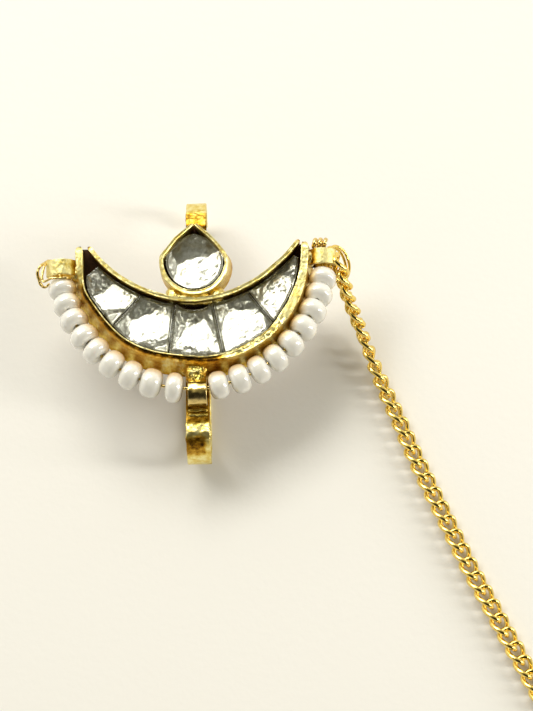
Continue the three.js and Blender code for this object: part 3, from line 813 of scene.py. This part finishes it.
def drop_line(inset, step=0.05):
    """The drop's outline from its point, down its left side, round and up its right side."""
    radius = DROP["radius"] - inset
    shoulder = DROP["shoulder"]
    turn = np.linspace(180 - shoulder, 360 + shoulder, 240) * DEGREE
    arc = arc_about(DROP, radius, turn)
    apex_y = DROP["apex_y"] + DROP["apex_rise"] - inset * 1.15
    apex = np.array([[DROP["x"] + DROP["apex_aside"], apex_y]])
    left_bulge, right_bulge = [(apex + arc[end]) / 2 + (0.2 * lean, 0.16)
                               for end, lean in ((0, -1), (-1, 0.8))]
    line = evenly(np.concatenate([apex, left_bulge, arc, right_bulge, apex]), step)
    for window, keep in ((0.3, lambda s: between(0, 0.04, s) * between(1, 0.96, s)),
                         (1.3, lambda s: between(0.55, 0.65, s) * between(0.97, 0.9, s))):
        count = int(window / step)
        padded = np.pad(line, ((count, count), (0, 0)), mode="reflect", reflect_type="odd")
        weights = np.hanning(2 * count + 3)[1:-1]
        weights = weights / weights.sum()
        smooth = np.stack([np.convolve(padded[:, k], weights, "valid") for k in (0, 1)], 1)
        share = keep(np.linspace(0, 1, len(line)))[:, None]
        line = line * (1 - share) + smooth * share
    return line


def make_drop():
    """The drop's tray: one strip bent round, with its ends at the point, on its base."""
    line = drop_line(WALL)
    along = unit(np.gradient(line, axis=0))
    outward = np.stack([along[:, 1], -along[:, 0], np.zeros(len(line))], 1)
    path = at_height(line, 0.0)
    share = np.linspace(0, 1, len(line))
    reach = lengths_along(path)
    widths = np.interp(share, [0, 0.25, 0.4, 0.6, 0.75, 1], [0.3, 0.4, 0.42, 0.4, 0.36, 0.28])
    feet = widths + np.interp(share, [0, 0.25, 0.4, 0.55, 0.75, 1], [0.03, 0.03, 0.12, 0.28, 0.4, 0.1])
    sections = np.array([rim_section(w, RIM, foot, 0.0, 0.06) for w, foot in zip(widths, feet)])
    wall = sweep(path, outward, UPWARDS, round_off(score(sections, reach, 0.02, 5), reach, 0.1))
    half = len(line) // 2
    left = evenly(drop_line(0.15)[:half], 0.1)
    right = drop_line(0.15)[half:][::-1]
    right = right[np.linspace(0, len(right) - 1, len(left)).astype(int)]
    floor = plate(left, right, BASE + 0.02, BASE + FLOOR_THICK)

    # Painted shade: darker lower down, and just under the rim inside the drop.
    def tone_and_painted_shade(points):
        depth = RIM - points[:, 2]
        from_centre = np.linalg.norm(points[:, :2] - (DROP["x"], DROP["y"]), axis=1)
        inside = (from_centre < DROP["radius"] - WALL + 0.02) * between(0.05, 0.3, depth)
        return 0.06 + 0.3 * between(0.15, 0.8, depth) + 0.2 * inside + 0.2 * between(1.2, 2.2, depth)

    make_setting_piece("drop_tray", [wall, with_material(floor, 1)], [GOLD, LAC], patina=tone_and_painted_shade,
                       sharp=35, dents=[(1.2, 0.03, 4), (0.4, 0.01, 5)])


def band_section(thick, width, rounding=0.06, columns=13):
    """A flat strip's section: its outer face first, with points across it for the dents."""
    half = width / 2
    across = np.linspace(-half, half, columns)[1:-1]
    corners = [(0, -half, rounding)] + [(0, y, 0) for y in across] + [(0, half, rounding)]
    corners += [(-thick, half, rounding)] + [(-thick, y, 0) for y in across[::-1]]
    corners += [(-thick, -half, rounding)]
    return rounded(corners)


def make_ear(name, ear):
    """A strip rolled into an oval, which bows in front and is tilted a little."""
    centre_x = (ear["outer_x"] + ear["inner_x"]) / 2
    half_length = abs(ear["outer_x"] - ear["inner_x"]) / 2
    turn = full_turn(260)
    half_height = EAR["height"] / 2
    front = between(-0.2, 0.9, np.sin(turn))
    bow = ear["bow"] * front * np.cos(np.cos(turn) * 1.5)
    tilt = ear["tilt"] * DEGREE
    rise = half_height * np.sin(turn)
    zero = np.zeros_like(turn)
    path = np.stack([centre_x + half_length * np.cos(turn), ear["y"] + bow - rise * math.sin(tilt),
                     EAR["z"] + rise * math.cos(tilt)], 1)
    side, lift = np.cos(turn) / half_length, np.sin(turn) / half_height
    outward = unit(np.stack([side, -lift * math.sin(tilt), lift * math.cos(tilt)], 1))
    up = np.stack([zero, zero + math.cos(tilt), zero + math.sin(tilt)], 1)
    band = sweep(path, outward, up, band_section(EAR["thick"], EAR["width"]), joined=True)
    wall_x = ear["inner_x"]

    # Painted shade: darker next to the wall it meets and along its lower edge.
    def tone_and_painted_shade(points):
        near_wall = between(0.95, 0.35, np.abs(points[:, 0] - wall_x))
        below = between(EAR["z"] + 0.7, EAR["z"] - 0.4, points[:, 2])
        return 0.05 + 0.75 * near_wall + 0.45 * below

    worked = ear["worked"]
    make_setting_piece(name, [band], [SANDED_GOLD], patina=tone_and_painted_shade, sharp=40,
                       dents=[(0.9, 0.015, 6), (0.3, worked, 7), (0.16, worked * 0.5, 8)])


def lump(low, high, rounding, rows=44):
    """A rounded block of solder between two corners."""
    low, high = np.array(low, float), np.array(high, float)
    tilt = np.linspace(-math.pi / 2, math.pi / 2, rows)[1:-1]
    turn = full_turn(72)
    level, spin = np.meshgrid(tilt, turn, indexing="ij")
    ball = np.stack([np.cos(level) * np.cos(spin), np.cos(level) * np.sin(spin), np.sin(level)], 2)
    box = ball / (np.abs(ball) ** rounding).sum(2, keepdims=True) ** (1 / rounding)
    return skin((low + high) / 2 + box * (high - low) / 2)


# Blocks of solder: two corners and a rounding. Those of the loop come first, then those between the
# drop and the hollow, from the drop's middle, and those where the ears meet the walls. z is above BASE.
LOOP_SOLDER = [((-1.2, -8.3, -0.3), (1.1, -5.3, 1.3), 2.8), ((-1.9, -7.4, -0.3), (1.6, -5.4, 0.9), 2.2)]
DROP_SOLDER = [((-3.0, -0.1, 0), (-1.3, 1.7, 2.1), 2.4), ((1.3, -0.1, 0), (3.0, 1.6, 2.1), 2.4),
               ((-2.0, -0.3, 0), (2.0, 1.0, 2.0), 3.0)]
EAR_SOLDER = [((-12.6, 2.3, -0.1), (-11.2, 4.7, 1.9), 2.4), ((11.2, 3.6, 0.2), (12.1, 5.2, 2.0), 2.4)]


def make_solder():
    """Solder at the loop, between the drop and the hollow, and where the ears meet the walls."""
    blocks = []
    for rows, middle in ((LOOP_SOLDER, 0), (DROP_SOLDER, DROP["x"]), (EAR_SOLDER, 0)):
        for low, high, rounding in rows:
            corners = [(middle + x, y, BASE + z) for x, y, z in (low, high)]
            blocks.append(lump(*corners, rounding))

    def at_loop(height):
        """Rough at the loop, and nearly smooth elsewhere."""
        return lambda points: height * (0.25 + 0.75 * between(-4, -5, points[:, 1]))

    # Painted shade: darker low on the solder's front, by the middle loop.
    def tone_and_painted_shade(points):
        below = between(BASE + 1.5, BASE + 1.1, points[:, 2])
        return 0.14 + 0.3 * between(-5.9, -6.3, points[:, 1]) * below

    make_setting_piece("solder", blocks, [ROUGH_GOLD], patina=tone_and_painted_shade,
                       dents=[(0.8, 0.12, 8), (0.3, at_loop(0.13), 9), (0.14, at_loop(0.05), 10)])


def make_middle_loop():
    """The rolled loop, and its strip's two ends, folded flat on the clip below it."""
    turn = full_turn(200)
    outward = np.stack([np.zeros_like(turn), np.cos(turn), np.sin(turn)], 1)
    middle_x = (LOOP["from_x"] + LOOP["to_x"]) / 2
    path = np.array([middle_x, LOOP["y"], LOOP["z"]]) + outward * LOOP["radius"]
    width = LOOP["to_x"] - LOOP["from_x"]
    band = sweep(path, outward, SIDEWAYS, band_section(LOOP["thick"], width, 0.07), joined=True)
    tails = []
    for number, (y, z) in enumerate(((-10.75, BASE + 0.12), (-11.2, BASE + 0.06))):
        places = np.linspace(-width / 2 - 0.05, width / 2 + 0.05, 40)
        wave = strip_lumps(places, number, 0.7, 50) * 0.1
        line = np.stack([middle_x + places, y + wave, 0 * places + z], 1)
        tails.append(wire(line, 0.16, sides=12))
    # The strip's ends, under the loop, are darkened by painted shade.
    make_setting_piece("middle_loop", [band] + [with_material(tail, 1) for tail in tails],
                       [WIRE_GOLD, ROUGH_GOLD], dents=[(1.4, 0.03, 10), (0.5, 0.05, 11)],
                       patina=lambda p: 0.35 * between(LOOP["y"] - 1.2, LOOP["y"] - 1.5, p[:, 1]))


def clip_line():
    """The middle line of the clip's strip in y and z, from the back arm's end to the other end.

    The strip's lower bend stands fuller in front than a round bend.
    """
    radius = CLIP["depth"] / 2 - CLIP["thick"] / 2
    middle = CLIP["depth"] / 2
    bottom = np.linspace(-90, -270, 120) * DEGREE
    bend_y, bend_z = CLIP["bottom_y"] + radius * np.cos(bottom), middle + radius * np.sin(bottom)
    fuller = between(-11.9, -13.2, bend_y) * between(-15.1, -13.6, bend_y)
    bend_z = bend_z + 0.42 * fuller * (bend_z > middle)
    top = np.linspace(90, CLIP["hook_end"], 46) * DEGREE
    points = np.concatenate([
        [(CLIP["back_end_y"], middle - radius)],
        np.stack([bend_y, bend_z], 1),
        np.stack([CLIP["top_y"] + radius * np.cos(top), middle + radius * np.sin(top)], 1),
    ])
    return evenly(points, 0.08)


def make_clip():
    """The nose clip: a flat strip that narrows towards the front, bent round at both ends."""
    line = clip_line()
    along = unit(np.gradient(line, axis=0))
    zeros = np.zeros(len(line))
    path = np.stack([0.11 * between(3, 9, line[:, 0]), line[:, 0], line[:, 1]], 1)
    outward = np.stack([zeros, along[:, 1], -along[:, 0]], 1)
    low_y = CLIP["bottom_y"] - CLIP["depth"] / 2
    share = (line[:, 0] - low_y) / (CLIP["top_y"] - CLIP["bottom_y"] + CLIP["depth"])
    widths = CLIP["back_width"] + (CLIP["front_width"] - CLIP["back_width"]) * share
    thick = CLIP["thick"]
    sections = np.array([band_section(thick, w, 0.12) + (thick / 2, 0) for w in widths])
    strip = sweep(path, outward, SIDEWAYS, sections)

    def worked(points):
        """The bends are dented most."""
        low_bend = between(-11.7, -12.3, points[:, 1]) * between(-14.2, -13.6, points[:, 1])
        front = between(6, 7, points[:, 2])
        top_bend = between(8.8, 9.4, points[:, 1]) * between(10.9, 10.5, points[:, 1])
        return 0.012 + (0.09 * low_bend + 0.07 * top_bend) * front

    # Painted shade under the middle loop and at the top bend above the drop, and a painted dark         reflection across the lower bend; on the front arm only.
    def tone_and_painted_shade(points):
        y = points[:, 1]
        front = between(4, 6.5, points[:, 2])
        under_loop = between(-12.3, -11.8, y) * between(8.8, 8.2, y)
        low_bend = between(-13.2, -13.6, y) * between(-15.2, -14.8, y)
        above_drop = between(10.1, 9.8, y) * between(7.2, 7.8, y)
        aside = between(0.9, 0.5, points[:, 0])
        return 0.14 + (0.62 * under_loop + 0.62 * low_bend * aside + 0.45 * above_drop) * front

    make_setting_piece("nose_clip", [strip], [GOLD], patina=tone_and_painted_shade,
                       dents=[(1.6, 0.03, 12), (0.5, worked, 13), (0.18, lambda p: worked(p) * 0.9, 14)])


# ---- Stones -------------------------------------------------------------------------------------

# bevel is the glass's rounded edge. gap is between a stone and the hollow's strip, outer_gap the one at
# the outer strip, and joint half of the one between two stones. The foil's edge is rolled up over
# foil_roll, and the foil stays foil_below under the glass's edge.
STONE = {"bevel": 0.16, "gap": 0.2, "outer_gap": 0.22, "joint": 0.035, "foil_roll": 0.22,
         "foil_below": 0.1}


def creased_foil(flat, distance, facets, waves, seed, girdle):
    """The foil's level at each place, from the highest of its facets and from lumps."""
    offset = flat - flat.mean(0)
    places = at_height(flat, 0.0)
    wander = np.stack([lumps(places, 1.0, seed + 5) * 0.3 + lumps(places, 0.35, seed + 6) * 0.12,
                       lumps(places, 0.9, seed + 7) * 0.35 + lumps(places, 0.35, seed + 8) * 0.15], 1)
    levels = [STONE_LOW + level + (offset + wander * (abs(rise_x) + abs(rise_y) > 0.2)) @ (rise_x, rise_y)
              for level, rise_x, rise_y in facets]
    soft = 0.012 + 0.06 * between(-0.3, 0.4, lumps(places, 1.1, seed + 9))
    highest = np.max(levels, axis=0)
    foil = highest + soft * np.log(np.exp((np.array(levels) - highest) / soft).sum(0))
    foil = foil - 0.012 * np.minimum((offset ** 2).sum(1), 6)
    for size, height, number in waves:
        foil = foil + lumps(places, size, seed + number) * height
    foil = foil + lumps(places, 0.17, seed + 4) * 0.016 * between(0.55, 0.1, distance)
    foil = np.minimum(foil, girdle - STONE["foil_below"])
    return girdle - (girdle - foil) * np.sqrt(np.clip(distance / STONE["foil_roll"], 0, 1))


def glass_and_foil(outline_grid, edge, facets, waves, seed):
    """A stone's shell over a grid of places: a flat face of glass above, and the creased foil below.

    edge is each place's distance from the stone's edge. facets are rows of the foil's level at the
    middle and its rise along x and y, and the foil lies on the highest of them.
    """
    rows, columns = outline_grid.shape[:2]
    flat = outline_grid.reshape(-1, 2)
    distance = edge.reshape(-1)
    bevel = STONE["bevel"]
    girdle = STONE_TOP - bevel
    rounding = np.clip(distance / bevel, 0, 1)
    high_points = at_height(flat, girdle + bevel * np.sqrt(1 - (1 - rounding) ** 2))
    low_points = at_height(flat, creased_foil(flat, distance, facets, waves, seed, girdle))
    on_edge = distance < 1e-6
    high_points[on_edge, 2] = girdle
    low_points[on_edge, 2] = girdle
    faces = sheet_faces(rows, columns)
    under = sheet_faces(rows, columns, start=len(flat), flip=True)
    return np.concatenate([high_points, low_points]), faces + under, [0] * len(faces) + [1] * len(under)


def weld(piece, distance=0.002):
    """Joins the glass and the foil of a stone where they share their edge."""
    body = bmesh.new()
    body.from_mesh(piece.data)
    bmesh.ops.remove_doubles(body, verts=body.verts, dist=distance * MM)
    bmesh.ops.recalc_face_normals(body, faces=body.faces)
    body.to_mesh(piece.data)
    body.free()
    piece.data.update()


def circle_crossing(joint, circle, radius):
    """Where a joint's line meets a circle, on the side near the joint."""
    start, end = np.array(joint[:2]), np.array(joint[2:])
    along = unit(end - start)
    from_centre = start - (circle["x"], circle["y"])
    b = from_centre @ along
    root = math.sqrt(b * b - from_centre @ from_centre + radius ** 2)
    near = min((-b - root, -b + root), key=lambda t: abs(t - (np.linalg.norm(end - start) / 2)))
    return start + along * near


# The foil of each crescent stone and of the drop's: rows of its level at the middle, and its rise along
# x and along y.
FOIL_FACETS = [
    [(0.2, 0.05, -0.12), (-0.06, -0.2, 0.3), (-0.35, -0.35, 0.1), (-0.5, 0.1, -0.5)],
    [(0.15, 0.06, -0.12), (-0.2, -0.08, 0.26), (-0.62, -0.4, 0.0), (-0.6, 0.4, 0.0), (-0.55, 0.05, -0.5)],
    [(0.15, 0.04, -0.13), (-0.3, 0.0, 0.3), (-0.42, 0.4, 0.1), (-0.46, -0.4, 0.1), (-0.5, 0.0, -0.5)],
    [(0.15, 0.07, -0.12), (-0.32, 0.1, 0.3), (-0.62, 0.4, 0.0), (-0.5, -0.35, 0.0), (-0.3, 0.15, -0.3)],
    [(0.2, 0.08, -0.13), (-0.1, 0.26, 0.12), (-0.3, -0.4, 0.1), (-0.5, 0.35, 0.1), (-0.45, 0.3, -0.3)],
]

DROP_FACETS = [(0.15, 0.09, -0.12), (0.02, 0.0, 0.16), (-0.42, 0.03, 0.46), (-0.65, -0.35, 0.0),
               (-0.75, 0.4, 0.0), (-0.6, 0.0, -0.35)]
# The foil's finer lumps: their size, height and number.
FOIL_WAVES = [(1.5, 0.03, 1), (0.5, 0.02, 2), (0.22, 0.008, 3)]
DROP_WAVES = [(1.5, 0.03, 1), (0.5, 0.018, 2), (0.22, 0.006, 3)]

# The middle stone's edge is chipped back from the hollow between these places, and shows the lac.
CHIP = {"stone": 2, "from_x": -1.75, "to_x": 1.3, "depth": 0.42}


def stone_side(circle, joints, count):
    """A stone's edge along a circle's strip, between two joints."""
    hollow = circle is HOLLOW
    radius = circle["radius"] + (WALL + STONE["gap"]) * (1 if hollow else -1)
    ends = [circle_crossing(joint, circle, radius) for joint in joints]
    turns = [math.atan2(e[1] - circle["y"], e[0] - circle["x"]) % (2 * math.pi) for e in ends]
    span = turns[1] - turns[0]
    inset = STONE["joint"] / (span * radius)
    turn = turns[0] + span * np.linspace(inset, 1 - inset, count)
    degrees = turn / DEGREE
    reach = hollow_reach(degrees) + STONE["gap"] if hollow else outer_reach(degrees) - STONE["outer_gap"]
    return arc_about(circle, reach, turn)


def chip_edge(side):
    """Moves a stone's edge back where it is chipped."""
    middle = (CHIP["from_x"] + CHIP["to_x"]) / 2
    across = np.clip(np.abs(side[:, 0] - middle) / (CHIP["to_x"] - middle), 0, 1)
    side[:, 1] -= CHIP["depth"] * np.sqrt(1 - across ** 2)


def make_crescent_stones():
    """Five stones side by side. The foil is stained near their edges, and darker towards the hollow
    with the hollow wall's painted shadow.
    """
    columns, rows = 90, 70
    for index, joints in enumerate(zip(JOINTS, JOINTS[1:])):
        upper, lower = [stone_side(circle, joints, columns) for circle in (HOLLOW, CRESCENT)]
        if index == CHIP["stone"]:
            chip_edge(upper)
        share = np.linspace(0, 1, rows)[None, :, None]
        grid = upper[:, None] * (1 - share) + lower[:, None] * share
        width = np.linalg.norm(grid[-1] - grid[0], axis=1)[None, :]
        height = np.linalg.norm(grid[:, -1] - grid[:, 0], axis=1)[:, None]
        from_side = np.minimum(np.linspace(0, 1, columns), np.linspace(1, 0, columns))[:, None] * width
        from_top = np.minimum(share[..., 0], 1 - share[..., 0]) * height
        edge = np.minimum(from_side, from_top)
        shell = glass_and_foil(grid, edge, FOIL_FACETS[index], FOIL_WAVES, seed=20 + index)
        high = (share[..., 0] + 0 * height).reshape(-1)
        at_edge = between(0.36, 0.03, edge.reshape(-1))
        # Stain near the edges; towards the hollow, the hollow wall's painted shadow.
        stain_and_painted_shade = np.tile(0.1 + 0.7 * at_edge + 0.3 * between(0.42, 0.15, high), 2)
        name = f"crescent_stone_{index + 1}"
        weld(make_piece(f"{name}_glass", [shell], [GLASS, FOIL], "foil_backed_glass", [name],
                        patina=lambda p, s=stain_and_painted_shade: s))


def make_drop_stone():
    """The round stone in the drop, narrower towards the point."""
    turn = np.linspace(0, 2 * math.pi, 145)
    narrow = 0.16 * between(0.35, 1.0, np.sin(turn))
    reach = DROP["stone_radius"] * (1 + 0.05 * np.sin(turn) - narrow * np.abs(np.cos(turn)) ** 0.8)
    share = np.linspace(0, 1, 44) ** 0.8
    grid = np.stack([DROP["x"] + share[:, None] * (reach * np.cos(turn))[None, :],
                     DROP["y"] + share[:, None] * (reach * np.sin(turn))[None, :]], 2)
    edge = (1 - share)[:, None] * reach[None, :]
    shell = glass_and_foil(grid, edge, DROP_FACETS, DROP_WAVES, seed=30)
    high = between(0.9, 1.9, grid[..., 1] - DROP["y"])
    # Stain near the edge, and painted shade towards the drop's point.
    stain_and_painted_shade = np.tile((0.06 + 0.4 * between(0.3, 0.03, edge) + 0.35 * high).reshape(-1), 2)
    weld(make_piece("drop_stone_glass", [shell], [GLASS, FOIL], "foil_backed_glass", ["drop_stone"],
                    patina=lambda p: stain_and_painted_shade))


# ---- Beads and wire -----------------------------------------------------------------------------

def wire_place(angle):
    """A point of the beads' wire at an angle round the crescent."""
    turn = angle * DEGREE
    curve = WIRE_CURVE
    reach = curve["reach"] - curve["lean"] * np.cos(turn) + curve["twist"] * np.sin(2 * turn)
    return (reach * np.cos(turn), curve["centre_y"] + reach * np.sin(turn), curve["z"])


def bead_profile(half_width, radius):
    """A bead's section as places along its axis and out from it: its outside, then its hole."""
    hole, fullness = BEAD["hole"], BEAD["fullness"]
    turn = np.linspace(-math.pi / 2, math.pi / 2, 30)
    along = half_width * np.sign(np.sin(turn)) * np.abs(np.sin(turn)) ** (2 / fullness)
    out = hole + BEAD["mouth"] + (radius - hole - BEAD["mouth"]) * np.abs(np.cos(turn)) ** (2 / fullness)
    inner = np.linspace(half_width * 0.92, -half_width * 0.92, 6)
    return np.concatenate([np.stack([along, out], 1), np.stack([inner, np.full(6, hole)], 1)])


def make_bead(name, number):
    """A round seed bead where its node is. Near the ears the beads are pushed together and lean over."""
    corners = np.array([v.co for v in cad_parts[name].data.vertices], float) / MM
    centre = (corners.min(0) + corners.max(0)) / 2 - (0, SHIFT_Y, 0)
    from_middle = centre - (0, WIRE_CURVE["centre_y"], WIRE_CURVE["z"])
    angle = math.degrees(math.atan2(from_middle[1], from_middle[0])) % 360
    string = unit(np.array(wire_place(angle + 0.5)) - np.array(wire_place(angle - 0.5)))
    half_width = np.abs((corners - corners.mean(0)) @ string).max()
    radius = (corners[:, 2].max() - corners[:, 2].min()) / 2
    to_ear = string if angle > 270 else -string
    most = BEAD["lean"] * DEGREE
    lean = most * between(BEAD["lean_from"], BEAD["lean_to"], abs(angle - 270))
    axis = to_ear * math.cos(lean) - np.array([0, 0, math.sin(lean)])
    profile = bead_profile(half_width * (1 + BEAD["swell"] * lean / most), radius)
    beside = unit(np.cross(axis, UPWARDS))
    across = np.cross(axis, beside)
    spin = full_turn(60)
    spoke = beside * np.cos(spin)[:, None] + across * np.sin(spin)[:, None]
    rings = centre + axis * profile[None, :, :1] + spoke[:, None] * profile[None, :, 1:]
    inward = unit(np.array([0, WIRE_CURVE["centre_y"], centre[2]]) - centre)

    def painted_gold_bounce(points):
        """How much painted reflection of the gold a place gets, by how far it looks towards the gold."""
        return 0.9 * between(0.2, 1.0, ((points - centre) / radius) @ inward)

    make_piece(f"{name}_glazed", [skin(rings, joined=True)], [PEARL], "pearl_bead", [name],
               dents=[(2.4, 0.04, 40 + number)], patina=painted_gold_bounce, sharp=80)


def make_bead_wire():
    """The beads' wire with its tail and its other strand, and the knot of its right end."""
    points = list(LEFT_TAIL)
    points += [wire_place(angle) for angle in np.linspace(192, 350, 23)]
    points += [(12.9, 3.7, WIRE_CURVE["z"]), (12.6, 4.7, WIRE_CURVE["z"])]
    knot = []
    for step in range(int(KNOT["turns"] * 8) + 1):
        turn = step / 8 * 2 * math.pi
        flattened = 1 - 0.25 * (step % 8 > 4)
        knot.append((KNOT["from_x"] + KNOT["pitch"] * step / 8,
                     KNOT["y"] - KNOT["radius"] * math.cos(turn) * flattened,
                     KNOT["z"] + KNOT["radius"] * math.sin(turn)))
    strands = ((points + knot[:3], 1), (LEFT_STRAND, 0.9), (knot, 1.45))
    shells = [wire(spline(line), WIRE_RADIUS * thicker) for line, thicker in strands]
    make_piece("bead_wire_drawn", shells, [WIRE_GOLD], "gold_wire", ["bead_wire"],
               dents=[(0.8, 0.06, 60), (0.25, 0.035, 61)])


def make_ring():
    """The split ring: two turns of wire side by side, with a step between them."""
    loop = spline(RING_LOOP, closed=True)
    along = lengths_along(loop)
    turned = RING["turned"] * DEGREE
    axis = np.array([math.sin(turned), 0, math.cos(turned)])
    half_step = 1 - RING["turns"] / 2
    from_middle = np.linspace(-0.5, 0.5, 260) * RING["turns"]
    at = (from_middle % 1) * along[-1]
    places = np.stack([np.interp(at, along, loop[:, k]) for k in range(3)], 1)
    aside = np.clip(from_middle / half_step, -1, 1) * RING["pitch"] / 2
    make_piece("jump_ring_split", [wire(places + aside[:, None] * axis, RING["wire"])], [CHAIN_GOLD],
               "gold_wire", ["jump_ring"])


# ---- Chain and hair hook ------------------------------------------------------------------------

def link_shell(centre, along, beside, above):
    """One curb link: an oval of wire, twisted so that it lies flat with the next one through it."""
    turn = full_turn(64)
    long_way, wide_way = [np.sign(v) * np.abs(v) ** (2 / LINK["fullness"])
                          for v in (np.cos(turn), np.sin(turn))]
    twist = -LINK["twist"] * DEGREE * long_way
    wide = LINK["half_width"] * wide_way
    oval = np.stack([LINK["half_length"] * long_way, wide * np.cos(twist), wide * np.sin(twist)], 1)
    heading = unit(np.roll(oval, -1, 0) - np.roll(oval, 1, 0))
    out = unit(oval * (1, 1, 0))
    out = unit(out - heading * (out * heading).sum(1, keepdims=True))
    side = np.cross(heading, out)
    spin = full_turn(14)
    rings = (oval[:, None] + LINK["wire"] * (np.cos(spin)[None, :, None] * out[:, None]
                                             + np.sin(spin)[None, :, None] * side[:, None]))
    axes = np.stack([along, beside, above])
    return skin(centre + rings @ axes, joined=True)


def make_chain():
    """The links, one after the other along the route, each rolled over about it."""
    route = evenly(spline(CHAIN_ROUTE), 0.05)
    reach = lengths_along(route)
    along = unit(np.gradient(route, axis=0))
    count = 1 + round((reach[-1] - LINK["first"] - LINK["from_eye"]) / LINK["pitch"])
    shells = []
    for number in range(count):
        at = LINK["first"] + number * LINK["pitch"]
        i = int(np.searchsorted(reach, at))
        direction = along[i]
        above = unit(np.array(UPWARDS) - direction * direction[2])
        beside = np.cross(above, direction)
        roll = np.interp(at, *zip(*CHAIN_ROLL)) * DEGREE
        turned_above = above * math.cos(roll) + beside * math.sin(roll)
        turned_beside = np.cross(turned_above, direction)
        shells.append(link_shell(route[i], direction, turned_beside, turned_above))
    make_piece("chain_curb_links", shells, [CHAIN_GOLD], "gold_chain", ["chain"])


def make_hook():
    """The hair hook: an open eye, a shank and a bend back, all of one wire on the floor."""
    eye, shank, bend, drop = HOOK["eye"], HOOK["shank"], HOOK["bend"], HOOK["eye"] * 0.6
    points = [(-eye * math.cos(a * DEGREE), eye * math.sin(a * DEGREE))
              for a in np.arange(55, 330, 30.5)]
    points += [(eye * 0.2, -eye * 1.05), (eye * 1.6, -eye * 0.7), (shank * 0.6, -drop)]
    points += [(shank + bend * math.cos(a * DEGREE), bend + bend * math.sin(a * DEGREE) - drop)
               for a in range(-90, 91, 30)]
    points.append((shank - HOOK["tip"], 2 * bend - drop + 0.35))
    turn = HOOK["heading"] * DEGREE
    flat = np.array(points)
    places = np.stack([HOOK["x"] + flat[:, 0] * math.cos(turn) - flat[:, 1] * math.sin(turn),
                       HOOK["y"] + flat[:, 0] * math.sin(turn) + flat[:, 1] * math.cos(turn),
                       np.full(len(flat), HOOK["wire"])], 1)
    make_piece("hair_hook_wire", [wire(spline(places), HOOK["wire"], sides=20)], [WIRE_GOLD],
               "gold_wire", ["hair_hook"], dents=[(1.5, 0.02, 70)])


make_crescent()
make_drop()
for ear_name, ear in EARS.items():
    make_ear(ear_name, ear)
make_middle_loop()
make_solder()
make_clip()
make_crescent_stones()
make_drop_stone()
bead_names = sorted(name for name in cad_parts
                    if name.startswith("bead_") and name != "bead_wire")
for number, bead_name in enumerate(bead_names):
    make_bead(bead_name, number)
make_bead_wire()
make_ring()
make_chain()
make_hook()
